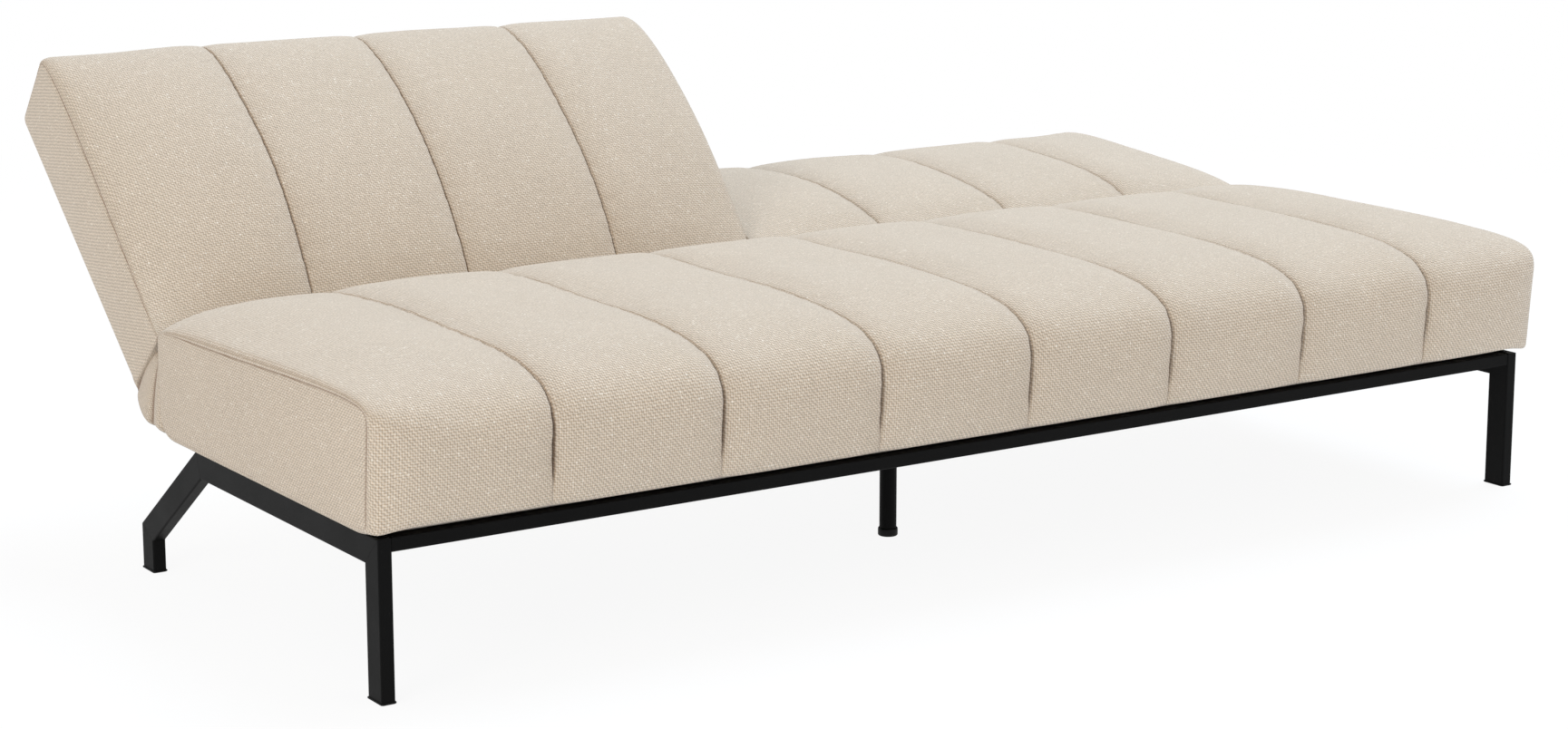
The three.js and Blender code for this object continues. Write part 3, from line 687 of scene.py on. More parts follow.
def stationsOf(spec, grooves):
    # places along a cushion from its middle, closer together beside each groove and over the end rolls,
    # with how far the outline has rolled in there and how far the end seam is along the cloth
    seamX = spec["halfLength"] - spec["seamInset"]
    rollStart = seamX - spec["roll"]
    half = spec["channelPitch"] / 2
    places = {groove + sign * step for groove in grooves for step in grooveSteps for sign in (-1, 1)}
    places |= {groove + half for groove in grooves[:-1]}
    for sign, groove in ((-1, grooves[0]), (1, grooves[-1])):
        start = groove + sign * grooveSteps[-1]
        count = round((rollStart - abs(start)) / endStep)
        places |= {start + (sign * rollStart - start) * k / count for k in range(1, count + 1)}
    flat = [(x, 0.0, seamX - abs(x) + (math.pi / 2 - 1) * spec["roll"]) for x in sorted(places)]
    rolled = []
    for step in seamSteps:
        angle = math.pi / 2 - step / spec["roll"]
        rolled.append((
            rollStart + spec["roll"] * math.sin(angle),
            spec["roll"] * (1 - math.cos(angle)),
            step,
        ))
    left = [(-x, drop, step) for x, drop, step in rolled]
    return np.array(left + flat + rolled[::-1])


def rowValues(rows, tables):
    # a value for each point of an outline, from a table of places and values for each of its sides
    values = []
    for count, table in zip((rows[0], rows[1]) * 2, tables):
        values.append(np.interp(np.arange(count) / count, *zip(*table)))
    return np.concatenate(values)


# The cloth of a cushion as the simulation takes it
filling = {
    "pressure": 1.6,
    "limit": 0.004,              # the most that a point may move
    "frames": 20,
    "quality": 4,
    "mass": 0.25,
    "tension": 12,
    "shear": 4,
    "bending": 0.4,
}


def swelled(points, pinnedStations, rowLoose):
    # the cushion's cloth, a little looser and coarser, is blown up by its filling. What that adds is
    # carried back to the fine points.
    stations = np.unique(np.concatenate([pinnedStations, np.arange(0, len(points), 2), [len(points) - 1]]))
    rows = np.arange(0, points.shape[1], 3)
    coarse = points[np.ix_(stations, rows)]
    countX, countRows = coarse.shape[:2]
    index = np.arange(countX * countRows).reshape(countX, countRows)
    faces = ringFaces(countRows, countX)
    cloth = meshObject("padding_cloth", coarse.reshape(-1, 3), faces, materials["beige_fabric"])
    pins = cloth.vertex_groups.new(name="sewn")
    fixed = np.isin(stations, pinnedStations)[:, None] | (rowLoose[rows] < 0.05)[None]
    pins.add(index[fixed].tolist(), 1.0, "REPLACE")
    modifier = cloth.modifiers.new("padding", "CLOTH")
    settings = modifier.settings
    settings.quality = filling["quality"]
    settings.mass = filling["mass"]
    settings.tension_stiffness = settings.compression_stiffness = filling["tension"]
    settings.shear_stiffness = filling["shear"]
    settings.bending_stiffness = filling["bending"]
    settings.use_pressure = True
    settings.uniform_pressure_force = filling["pressure"]
    settings.effector_weights.gravity = 0
    settings.vertex_group_mass = "sewn"
    modifier.point_cache.frame_start, modifier.point_cache.frame_end = 1, filling["frames"]
    for number in range(1, filling["frames"] + 1):
        scene.frame_set(number)
    shape = cloth.evaluated_get(bpy.context.evaluated_depsgraph_get())
    moved = np.zeros(len(shape.data.vertices) * 3, np.float32)
    shape.data.vertices.foreach_get("co", moved)
    shift = moved.reshape(coarse.shape) - coarse
    bpy.data.objects.remove(cloth)
    scene.frame_set(1)
    length = np.linalg.norm(shift, axis=2, keepdims=True)
    shift *= np.minimum(1, filling["limit"] / np.maximum(length, 1e-9))
    shift *= rowLoose[rows][None, :, None]
    shift = np.concatenate([shift, shift[:, :1]], axis=1).transpose(1, 0, 2)
    knots = np.append(rows, points.shape[1]).astype(float)
    fine = softly(np.arange(points.shape[1], dtype=float), knots, shift).transpose(1, 0, 2)
    return points + softly(np.arange(len(points), dtype=float), stations.astype(float), fine)


def stitchRows(spec):
    # the rows of an outline that carry a stitched seam: those over its top
    nLong, nShort = spec["rows"]
    return np.arange(nLong + nShort - spec["stitchedRear"], 2 * nLong + nShort + 1)


def stitched(name, rows, toFrame, body):
    # a row of short threads, pointed at both ends and sunk a little into the cloth
    points, faces = [], []
    half, thick = sewing["stitch"] / 2, sewing["thickness"] / 2
    for line, normals in rows:
        lengths = lengthsAlong(line)
        for centre in np.arange(half, lengths[-1] - half, 2 * half + sewing["gap"]):
            start, middle, end = (np.array([
                np.interp(centre + shift, lengths, line[:, axis]) for axis in range(3)
            ]) for shift in (-half, 0, half))
            out = np.array([0, *[np.interp(centre, lengths, normals[:, axis]) for axis in range(2)]])
            along = (end - start) / np.linalg.norm(end - start)
            across = np.cross(along, out)
            base = len(points)
            points.append(start - out * thick)
            for place in (start * 0.65 + middle * 0.35, end * 0.65 + middle * 0.35):
                for turn in range(4):
                    angle = turn * math.pi / 2
                    points.append(place + thick * (out * math.cos(angle) + across * math.sin(angle)))
            points.append(end - out * thick)
            for turn in range(4):
                first, second = base + 1 + turn, base + 1 + (turn + 1) % 4
                faces.append((base, second, first))
                faces.append((first, second, second + 4, first + 4))
                faces.append((base + 9, first + 4, second + 4))
    made = meshObject(name, toFrame(np.array(points)), faces, materials["thread"])
    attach(made, body)
    print(name, "made")


# How the cover lies over the foam
cover = {
    "sharpShare": 0.25,          # how much of a channel's puff comes right beside the groove
    "sharpReach": 0.003,
    "roundness": 2.2,
    "creaseWidth": (0.0007, 0.0010),   # of a shut crease, and what an open one adds
    "creaseEdge": 1.25,
    "pucker": 0.00045,
    "puckerReach": 0.010,
    "puckerWaves": [(0.031, 2.1), (0.019, 4.3), (0.057, 1.3)],   # period, and turn from groove to groove
    "uneven": 0.0007,
    "seamDip": (0.0013, 0.0022),       # depth and width
    "secondDip": (0.0009, 0.0012),
    # painted shade beside the end seam and the second seam (darkness and width), and across the valley beside each
    # groove (darkness and reach)
    "seamFold": (0.50, 0.0008),        # shade and width
    "secondFold": (0.28, 0.0008),
    "valleyFold": (0.05, 0.014),
}


def endPanel(ring, corners, side, inset):
    # a panel inside an end seam, stretched between the seam's four sides and swelled a little
    bottom, rear, top, front = (ring[edge] for edge in corners)
    u = np.linspace(0, 1, len(bottom))[:, None, None]
    v = np.linspace(0, 1, len(rear))[None, :, None]
    patch = (
        (1 - v) * bottom[:, None] + v * top[:, None] + (1 - u) * front[None] + u * rear[None]
        - (1 - u) * (1 - v) * bottom[0] - u * (1 - v) * bottom[-1]
        - (1 - u) * v * top[0] - u * v * top[-1]
    )
    swell = (np.sin(math.pi * u) ** 0.45 * np.sin(math.pi * v) ** 0.5)[..., 0]
    patch[..., 0] += side * inset * 0.9 * swell
    return patch


def cushion(name, spec, outlineAt, tables, toFrame):
    stations = stationsOf(spec, spec["grooves"])
    x, drops, seamDistance = stations.T
    nLong, nShort = spec["rows"]
    count = 2 * (nLong + nShort)
    rings = np.array([
        np.concatenate([
            evenly(side, steps)[:-1] for side, steps in zip(outlineAt(spec, place, drop), (nLong, nShort) * 2)
        ]) for place, drop, _ in stations
    ])
    step = np.roll(rings, -1, axis=1) - np.roll(rings, 1, axis=1)
    normals = np.stack([step[..., 1], -step[..., 0]], axis=-1)
    normals /= np.linalg.norm(normals, axis=-1, keepdims=True)

    # channels that stand up between the grooves
    puffRow, creaseRow, widthRow, looseRow = (rowValues(spec["rows"], table) for table in tables)
    grooves = np.array(spec["grooves"])
    distance = np.abs(x[:, None] - grooves[None]).min(axis=1)
    fall = nearEnd(spec, x, spec["endWidth"])
    pillow = cover["sharpShare"] * (1 - np.exp(-distance / cover["sharpReach"]))
    roundShare = 1 - (1 - np.minimum(distance / spec["valley"], 1)) ** cover["roundness"]
    pillow += (1 - cover["sharpShare"]) * roundShare
    endPuff = np.ones(len(x))
    endPuff[x < grooves[0]], endPuff[x > grooves[-1]] = spec["endPuff"]
    rise = spec["puff"] * pillow * (1 - fall) * endPuff
    along = lengthsAlong(rings[len(rings) // 2 + 6])
    wave = np.array([
        np.sin(along / period * math.tau + np.cumsum(distance < 1e-9)[:, None] * turn)
        for period, turn in cover["puckerWaves"]
    ]).sum(axis=0)
    pucker = cover["pucker"] * np.exp(-distance / cover["puckerReach"]) * (distance > 1e-9)
    uneven = np.sin(x[:, None] * 31 + along * 17) + np.sin(x[:, None] * 19 - along * 23 + 2)
    uneven = cover["uneven"] * uneven * (1 - fall[:, None])
    height = rise[:, None] * puffRow[None] + (pucker[:, None] * wave + uneven) * looseRow[None]
    points = np.concatenate([
        np.repeat(x[:, None, None], count, axis=1),
        rings + normals * height[..., None],
    ], axis=2)
    sewn = np.flatnonzero((distance < 0.0013) | (seamDistance < 0.012))
    points = swelled(points, sewn, looseRow)

    # creases and seams, and the painted shade that darkens them
    leastWidth, moreWidth = cover["creaseWidth"]
    cleft = np.exp(-(distance[:, None] / (leastWidth + moreWidth * widthRow[None])) ** cover["creaseEdge"])
    seamRow = np.clip(puffRow * 1.5, 0.35, 1)
    creaseShadeRow = np.clip(creaseRow * 1.6 - 0.3, 0.08, 1) * 1.1
    shade, reach = cover["valleyFold"]
    dip = spec["creaseDepth"] * creaseRow[None] * cleft
    dip = dip + bell(seamDistance, *cover["seamDip"])[:, None] * seamRow[None]
    # painted shade: darkest in a shut crease, fainter across the valley beside each groove, and along the seams
    fold = np.clip(cleft ** 1.5 * creaseShadeRow[None], 0, 1)
    fold = np.maximum(fold, shade * np.exp(-distance / reach)[:, None] * np.clip(puffRow, 0, 1)[None])
    fold = np.maximum(fold, bell(seamDistance, *cover["seamFold"])[:, None] * seamRow[None])
    if spec["secondSeam"]:
        onTop = np.zeros(count)
        onTop[stitchRows(spec)] = 1
        fromSecond = seamDistance - spec["secondSeam"]
        dip = dip + bell(fromSecond, *cover["secondDip"])[:, None] * onTop[None]
        fold = np.maximum(fold, bell(fromSecond, *cover["secondFold"])[:, None] * onTop[None])
    points[..., 1:] -= normals * dip[..., None]
    points = spec["underside"](points)

    # faces, with the weave laid along the cloth
    index = np.arange(len(x) * count).reshape(len(x), count)
    faces = [ringFaces(count, len(x))]
    uLine = lengthsAlong(np.stack([x, rise - drops], axis=1))
    uvGrid = np.stack(np.meshgrid(uLine, np.append(along, along[-1] + 0.005), indexing="ij"), axis=-1)
    uvs = [np.stack([uvGrid[:-1, :-1], uvGrid[:-1, 1:], uvGrid[1:, 1:], uvGrid[1:, :-1]], axis=2).reshape(-1, 2)]
    allPoints, paintedShades = [points.reshape(-1, 3)], [fold.reshape(-1)]
    total = len(allPoints[0])
    bottom, rear = np.arange(nLong + 1), nLong + np.arange(nShort + 1)
    top, front = 2 * nLong + nShort - bottom, (count - np.arange(nShort + 1)) % count
    for side, ring in ((-1, 0), (1, len(x) - 1)):
        patch = endPanel(points[ring], (bottom, rear, top, front), side, spec["seamInset"])
        inner = patch[1:-1, 1:-1]
        places = np.zeros(patch.shape[:2], dtype=int)
        places[1:-1, 1:-1] = total + np.arange(inner.shape[0] * inner.shape[1]).reshape(inner.shape[:2])
        places[:, 0], places[:, -1] = index[ring][bottom], index[ring][top]
        places[0, :], places[-1, :] = index[ring][front], index[ring][rear]
        total += inner.shape[0] * inner.shape[1]
        allPoints.append(inner.reshape(-1, 3))
        paintedShades.append(np.zeros(len(allPoints[-1])))
        faces.append(np.stack(gridQuads(places)[::side], axis=-1).reshape(-1, 4))
        flatUv = patch[..., 1:] * [1, -1] + 3.0
        uvs.append(np.stack(gridQuads(flatUv)[::side], axis=2).reshape(-1, 2))
    placed = toFrame(np.concatenate(allPoints))
    made = meshObject(name, placed, np.concatenate(faces), materials["beige_fabric"], np.concatenate(uvs))
    setPaintedShade(made, np.concatenate(paintedShades))
    print(name, "made,", len(made.data.vertices), "points")
    stitches = []
    for seamStep in spec["stitchSteps"]:
        for station in np.flatnonzero(np.abs(seamDistance - seamStep) < 1e-6):
            stitches.append((points[station, stitchRows(spec)], normals[station, stitchRows(spec)]))
    return made, stitches


# For each side of the outline, the bottom, the rear, the top and the front, places along it with values:
# how far it puffs, how deep its creases are, how wide they stand open, and how loose the cloth is
seatTables = [
    [[(0, 0.12), (0.02, 0), (1, 0)], [(0, 0), (0.7, 0), (1, 0.3)],
     [(0, 0.3), (0.15, 1), (1, 1)], [(0, 1), (0.55, 1), (0.85, 0.65), (1, 0.12)]],
    [[(0, 0.05), (0.02, 0), (1, 0)], [(0, 0), (0.6, 0.1), (1, 0.3)],
     [(0, 0.2), (0.5, 0.26), (0.85, 0.38), (1, 0.55)],
     [(0, 0.55), (0.2, 0.85), (0.5, 1), (0.66, 0.75), (0.8, 0.12), (1, 0.08)]],
    [[(0, 0), (1, 0)], [(0, 0), (1, 0)],
     [(0, 0), (0.9, 0.05), (1, 0.2)], [(0, 0.2), (0.25, 0.7), (0.5, 1), (0.7, 0.5), (0.8, 0), (1, 0)]],
    [[(0, 0), (1, 0)], [(0, 0), (0.7, 0), (1, 0.2)],
     [(0, 0.2), (0.15, 1), (1, 1)], [(0, 1), (0.6, 0.9), (0.92, 0.3), (1, 0.1)]],
]
backTables = [
    [[(0, 0), (1, 0)], [(0, 0), (0.4, 0.2), (1, 0.6)],
     [(0, 0.6), (0.15, 1), (0.85, 1), (1, 0.4)], [(0, 0.4), (0.3, 0), (1, 0)]],
    [[(0, 0), (1, 0)], [(0, 0), (0.3, 0.2), (1, 0.6)],
     [(0, 0.6), (0.5, 0.62), (1, 0.5)], [(0, 0.5), (0.3, 0.3), (1, 0.1)]],
    [[(0, 0), (1, 0)], [(0, 0), (1, 0)], [(0, 0), (0.5, 0.1), (1, 0)], [(0, 0), (1, 0)]],
    [[(0, 0), (1, 0)], [(0, 0), (0.4, 0.3), (1, 0.8)],
     [(0, 0.8), (0.15, 1), (0.85, 1), (1, 0.3)], [(0, 0.3), (0.3, 0), (1, 0)]],
]


def raised(low, high, lift):
    # lifts a flat underside a little inside a rectangle, where cloth lies against it
    margin = 0.006

    def change(points):
        inside = 1.0
        for axis in (0, 1):
            inside = inside * smoothStep((points[..., axis] - low[axis]) / margin + 0.5)
            inside = inside * smoothStep((high[axis] - points[..., axis]) / margin + 0.5)
        floor = points[..., 2].min()
        points[..., 2] += inside * lift * (points[..., 2] < floor + 0.004)
        return points
    return change


def asDrawn(points):
    return points


def turned(angle, shift=0.0):
    # carries points from a back's own plane to the sofa's frame
    def change(points):
        x, u, w = np.asarray(points, dtype=float).T
        return np.stack([
            x + shift,
            hingeY + u * math.cos(angle) - w * math.sin(angle),
            hingeZ + u * math.sin(angle) + w * math.cos(angle),
        ], axis=-1)
    return change


seat["underside"] = raised(*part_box("seat_dust_cloth"), seat["clothLift"])
upholstery, stitches = cushion("seat_upholstery", seat, seatOutline, seatTables, asDrawn)
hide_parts("seat_cushion")
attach(upholstery, "base")
stitched("seat_seam_stitches", stitches, asDrawn, "base")

sides = {"left": -1, "right": 1}
restAngles = {"left": clickAngles["reclined"], "right": clickAngles["flat"]}

for side, sign in sides.items():
    spec = {**back, **(flatBack if side == "right" else {})}
    middle = sign * spec["middle"]
    spec["grooves"] = sorted(sign * spec["channelPitch"] * k - middle for k in (1, 2, 3))
    low, high = ((corner.x - middle, u) for corner, u in zip(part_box(f"{side}_back_rear_cover"), spec["clothEdges"]))
    spec["underside"] = raised(low, high, spec["clothLift"])
    toFrame = turned(restAngles[side], middle)
    made, stitches = cushion(f"{side}_back_upholstery", spec, backOutline, backTables, toFrame)
    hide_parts(f"{side}_back_cushion")
    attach(made, f"{side}_back")
    stitched(f"{side}_back_seam_stitches", stitches, toFrame, f"{side}_back")


def sheetMesh(name, grid, uvGrid, thickness, material):
    # a sheet of cloth over a grid of points, closed all round
    rows, columns = grid.shape[:2]
    normals = np.cross(np.gradient(grid, axis=0), np.gradient(grid, axis=1))
    normals /= np.maximum(np.linalg.norm(normals, axis=-1, keepdims=True), 1e-12)
    points = np.concatenate([grid.reshape(-1, 3), (grid - normals * thickness).reshape(-1, 3)])
    index = np.arange(rows * columns).reshape(rows, columns)
    upper = np.stack(gridQuads(index), axis=-1).reshape(-1, 4)
    lower = upper[:, ::-1] + rows * columns
    loop = np.concatenate([index[0, :-1], index[:-1, -1], index[-1, :0:-1], index[:0:-1, 0]])
    after = np.roll(loop, -1)
    rim = np.stack([loop, after, after + rows * columns, loop + rows * columns], axis=-1)
    faces = np.concatenate([upper, lower, rim])
    flat = np.concatenate([uvGrid.reshape(-1, 2)] * 2)
    return meshObject(name, points, faces, material, flat[faces].reshape(-1, 2))


# The loose gusset between the seat and a back: a strip along the sofa with a folded wall at each end.
# Its outline is given for a reclined back, as the direction in degrees and the distance from the hinge.
gusset = {
    "outline": [(-103, 0.133), (-97, 0.1362), (-90.4, 0.137), (-80, 0.1345), (-72.3, 0.131),
                (-54.8, 0.125), (-45, 0.1205), (-38.8, 0.118), (-30.4, 0.1145)],
    "columns": 41,
    "seatPlane": -0.0146,       # where it leaves the seat, from the hinge
    "backPlane": -0.0015,
    "apex": 0.024,              # how near the hinge axis its end walls reach
    "corner": 0.010,
    "ends": (0.012, 0.9745),    # its end walls, from the sofa's middle
    "innerBulge": 0.5,          # share of the bulge that the wall near the middle has
    "wallBulge": 0.003,
    "pleats": [(0.0, 0.36, 0.0110), (0.36, 0.66, 0.0090), (0.66, 1.0, 0.0060)],   # from, to and height
    # painted shade in the creases between its pleats: how wide it is, and how dark
    "creaseWidth": 0.022,
    "foldShade": 0.8,
    "hollow": 0.004,            # how far the walls' outer edge comes and goes
    "waves": 0.0016,
    "thickness": 0.0014,
    "tuck": 0.026,              # how far it folds up into the gap of a back that lies flat
    "tuckSpan": 5.2,            # over this many steps of its outline
    "swing": clickAngles["reclined"] - clickAngles["flat"],
}


def fromHinge(degrees, distance):
    angle = math.radians(degrees)
    return (0, hingeY + distance * math.cos(angle), hingeZ + distance * math.sin(angle))


def gussetPiece(side, sign):
    spec = gusset
    directions, distances = np.array(spec["outline"]).T
    knots = np.arange(len(directions), dtype=float)
    places = np.linspace(0, len(directions) - 1, spec["columns"])
    reclined = np.radians(softly(places, knots, directions))
    radius = softly(places, knots, distances)
    if side == "right":
        radius = radius - spec["tuck"] * np.sin(math.pi * np.clip(places / spec["tuckSpan"], 0, 1)) ** 1.5

    # how much of the back's turn each column follows, so that all of it lies in the gap when flat
    low, high = np.zeros_like(radius), np.ones_like(radius)
    for _ in range(40):
        follow = (low + high) / 2
        t = 0.5 - np.sin(np.arcsin(1 - 2 * follow) / 3)
        flatY = radius * np.sin(reclined + math.pi / 2 - spec["swing"] * follow)
        beyond = flatY > blended(spec["seatPlane"], spec["backPlane"], t)
        low, high = np.where(beyond, follow, low), np.where(beyond, high, follow)
    across = np.linspace(0, 1, spec["columns"])
    pleat, crease = np.zeros_like(across), np.zeros_like(across)
    # painted shade: a dark band along the valley where each pleat starts
    for start, end, tall in spec["pleats"]:
        inside = np.clip((across - start) / (end - start), 0, 1)
        pleat = np.maximum(pleat, tall * np.sin(math.pi * inside) ** 0.6)
        crease = np.maximum(crease, bell(across - start, 1, spec["creaseWidth"]))

    # out along one wall, round its corner, along the strip, and back in along the other wall
    inner, outer = spec["ends"]
    wall = np.linspace(0, 1, 12)
    bend = np.linspace(0, math.pi / 2, 6)[1:]
    strip = np.linspace(inner + spec["corner"], outer - spec["corner"], 40)[1:-1]
    path = [("wall", inner, amount, -1) for amount in wall]
    path += [("bend", inner, angle, -1) for angle in bend]
    path += [("strip", x, 0, 0) for x in strip]
    path += [("bend", outer, angle, 1) for angle in bend[::-1]]
    path += [("wall", outer, amount, 1) for amount in wall[::-1]]
    swing = spec["swing"] if side == "left" else 0.0
    rows, paintedShades = [], []
    for kind, x, amount, end in path:
        reach, bulge, shade = radius, np.zeros_like(across), np.zeros_like(across)
        hollow = spec["hollow"] * np.sin(across * 9)
        if kind == "wall":
            reach = spec["apex"] + (radius - spec["corner"] - spec["apex"]) * amount - hollow * amount
            bulge = spec["wallBulge"] * np.sin(math.pi * across) * math.sin(math.pi * amount * 0.9) ** 0.7
            bulge = bulge + pleat * amount ** 0.8
            shade = crease * min(1.0, amount * 3)
        elif kind == "bend":
            reach = radius - spec["corner"] * (1 - math.sin(amount)) - hollow * math.cos(amount)
            x = x - end * spec["corner"] * (1 - math.cos(amount))
            bulge = pleat * math.cos(amount)
            shade = crease * math.cos(amount)
        bulge = bulge * (1.0 if end > 0 else spec["innerBulge"])
        paintedShades.append(shade)
        wave = np.sin(across * 19 + x * 6) + 0.6 * np.sin(x * 41 + across * 5)
        reach = reach + spec["waves"] * np.sin(math.pi * across) ** 0.5 * wave
        level = np.clip(flatY, -reach * 0.94, reach * 0.94)
        angle = -math.pi / 2 + np.arcsin(level / reach) + follow * swing
        rows.append(np.stack([
            np.full_like(radius, x) + end * bulge,
            hingeY + reach * np.cos(angle),
            hingeZ + reach * np.sin(angle),
        ], axis=-1))
    grid, paintedShades = np.array(rows), np.array(paintedShades)
    grid[..., 0] *= sign
    if sign > 0:
        grid, paintedShades = grid[::-1], paintedShades[::-1]
    alongPath = lengthsAlong(grid[:, spec["columns"] // 2])
    uvGrid = np.stack(np.meshgrid(alongPath, radius * reclined, indexing="ij"), axis=-1)
    made = sheetMesh(f"{side}_gusset_cloth", grid, uvGrid, spec["thickness"], materials["beige_fabric"])
    setPaintedShade(made, np.tile(paintedShades.reshape(-1), 2) * spec["foldShade"])
    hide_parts(f"{side}_gusset")
    if side == "left":
        start, end = fromHinge(-97.5, 0.130), fromHinge(-52, 0.125)
    else:
        start = (0, hingeY + spec["seatPlane"], hingeZ - 0.13)
        end = (0, hingeY + spec["backPlane"], hingeZ - 0.13)
    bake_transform(made)
    print(made.name, "made")


for side, sign in sides.items():
    gussetPiece(side, sign)

staple = {"wire": 0.0006, "crown": 0.0100, "leg": 0.0012, "inset": 0.006}


def stapleRow(name, places, toFrame, body):
    # crowned wire staples pressed into cloth: x, y, height and the direction of the crown
    wire, half, leg = staple["wire"], staple["crown"] / 2, staple["leg"]
    line = [(-half, leg), (-half, leg * 0.2), (wire - half, 0), (half - wire, 0), (half, leg * 0.2), (half, leg)]
    points, faces = [], []
    for x, y, z, turn in places:
        along = np.array([math.cos(turn), math.sin(turn), 0])
        across = np.array([-math.sin(turn), math.cos(turn), 0])
        base, last = len(points), len(points) + 4 * (len(line) - 1)
        for reach, depth in line:
            for side, lift in ((-1, 0), (1, 0), (1, 1), (-1, 1)):
                place = np.array([x, y, z]) + along * reach + across * side * wire / 2
                points.append(place + np.array([0, 0, depth + lift * wire]))
        faces += (base + ringFaces(4, len(line))).tolist()
        faces += [(base + 3, base + 2, base + 1, base), (last, last + 1, last + 2, last + 3)]
    made = meshObject(name, toFrame(np.array(points)), faces, materials["zinc_steel"])
    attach(made, body)


# The black cloth below the seat, stapled at its edges and sagging a little between the rails
underCloth = {"sag": 0.0030, "ripple": 0.00012, "thickness": 0.0007, "staplePitch": 0.055}


def underlining():
    low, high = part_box("seat_dust_cloth")
    x = np.linspace(low.x, high.x, 121)[:, None]
    y = np.linspace(low.y, high.y, 61)[None, :]
    railBack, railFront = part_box("front_rail")[1].y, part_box("rear_rail")[0].y
    beam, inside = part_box("middle_beam")[1].x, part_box("right_side_rail")[0].x
    bayX = np.clip((np.abs(x) - beam) / (inside - beam), 0, 1)
    bayY = np.clip((y - railBack) / (railFront - railBack), 0, 1)
    sag = underCloth["sag"] * np.sin(math.pi * bayX) ** 0.6 * np.sin(math.pi * bayY) ** 0.6
    ripple = underCloth["ripple"] * np.sin(x * 90 + y * 31) * np.sin(y * 57)
    height = frameTop + 0.0002 - sag + ripple * (sag > 1e-6)
    grid = np.stack(np.broadcast_arrays(x, y, height), axis=-1)[:, ::-1]
    thickness = underCloth["thickness"]
    made = sheetMesh("seat_underlining", grid, grid[..., :2], thickness, materials["black_cloth"])
    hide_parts("seat_dust_cloth")
    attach(made, "base")
    floor = frameTop - 0.0009
    spots = []
    for place in np.arange(low.x + 0.03, high.x - 0.02, underCloth["staplePitch"]):
        spots.append((place, low.y + staple["inset"], floor, 0.1))
        spots.append((place, high.y - staple["inset"], floor, -0.08))
    stapleRow("seat_underlining_staples", spots, asDrawn, "base")


underlining()

# The cloth under each back, turned in and stapled round its edge
rearCloth = {
    "thickness": 0.0010,
    "pull": 0.0012,              # how far the middle is drawn in
    "hem": 0.0008,
    "hemWidth": 0.010,
    "tuck": 0.0005,              # how far its edge goes up and down between staples
    "tuckReach": 0.02,
    "staplePitch": 0.045,
}


def rearCover(side):
    low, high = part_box(f"{side}_back_rear_cover")
    nearHinge, farEdge = back["clothEdges"]
    x = np.linspace(low.x, high.x, 81)[:, None]
    u = np.linspace(nearHinge, farEdge, 47)[None, :]
    placeX = (x - low.x) / (high.x - low.x)
    placeU = (u - nearHinge) / (farEdge - nearHinge)
    pull = np.sin(math.pi * placeX) ** 0.5 * np.sin(math.pi * placeU) ** 0.5
    fromEdge = np.minimum(u - nearHinge, farEdge - u)
    nearest = np.minimum(np.minimum(x - low.x, high.x - x), fromEdge)
    hem = rearCloth["hem"] * (1 - smoothStep((nearest - rearCloth["hemWidth"]) / 0.004))
    tuck = rearCloth["tuck"] * np.sin(x * 114) * np.exp(-fromEdge / rearCloth["tuckReach"])
    pull = rearCloth["pull"] * pull * (1 + 0.3 * np.sin(x * 13 + u * 9))
    depth = -back["under"] + 0.0004 + pull - hem + tuck
    grid = np.stack(np.broadcast_arrays(x, u, depth), axis=-1)[:, ::-1]
    toFrame = turned(restAngles[side])
    placed = toFrame(grid.reshape(-1, 3)).reshape(grid.shape)
    thickness = -rearCloth["thickness"]
    made = sheetMesh(f"{side}_back_rear_cloth", placed, grid[..., :2], thickness, materials["beige_fabric"])
    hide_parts(f"{side}_back_rear_cover")
    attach(made, f"{side}_back")
    floor = -back["under"] - 0.0012
    inset, pitch = staple["inset"], rearCloth["staplePitch"]
    spots = []
    for place in np.arange(low.x + 0.02, high.x - 0.015, pitch):
        spots.append((place, nearHinge + inset, floor, 0.05))
        spots.append((place, farEdge - inset, floor, -0.05))
    for place in np.arange(0.060, 0.470, pitch):
        spots.append((low.x + inset, place, floor, math.pi / 2))
        spots.append((high.x - inset, place, floor, math.pi / 2 + 0.06))
    stapleRow(f"{side}_back_staples", spots, toFrame, f"{side}_back")


for side in sides:
    rearCover(side)
print("cloth covers made")


# Moulded glides on the feet: a flange with soft edges and a slightly domed sole
glide = {
    "cornerRadius": 0.0035,
    "cornerSteps": 6,
    "profile": [(0.0, 0.0026), (0.0004, 0.0010), (0.0010, 0.0002), (0.0016, 0.0),
                (0.0024, 0.0), (0.0028, 0.0003), (0.0030, 0.0009)],   # height and inset
}


def footGlide(name, node):
    low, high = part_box(node)
    middle, half = (low + high) / 2, (high - low) / 2
    points = []
    for height, inset in glide["profile"]:
        for quarter in range(4):
            signX = 1 if quarter in (0, 3) else -1
            signY = 1 if quarter in (0, 1) else -1
            radius = max(glide["cornerRadius"] - inset * 0.3, 0.001)
            for step in range(glide["cornerSteps"] + 1):
                angle = (quarter + step / glide["cornerSteps"]) * math.pi / 2
                points.append((
                    middle.x + signX * (half.x - inset - radius) + radius * math.cos(angle),
                    middle.y + signY * (half.y - inset - radius) + radius * math.sin(angle),
                    low.z + height,
                ))
    count = 4 * (glide["cornerSteps"] + 1)
    faces = ringFaces(count, len(glide["profile"])).tolist()
    faces += [range(count)[::-1], range(len(points) - count, len(points))]
    made = meshObject(name, points, faces, materials["black_plastic"])
    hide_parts(node)
    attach(made, "base")


for side in sides:
    for end in ("front", "rear"):
        footGlide(f"{side}_{end}_glide", f"{side}_{end}_foot_cap")

cup = {"bore": 0.0128, "height": 0.0120, "floor": 0.0030, "steps": 48}


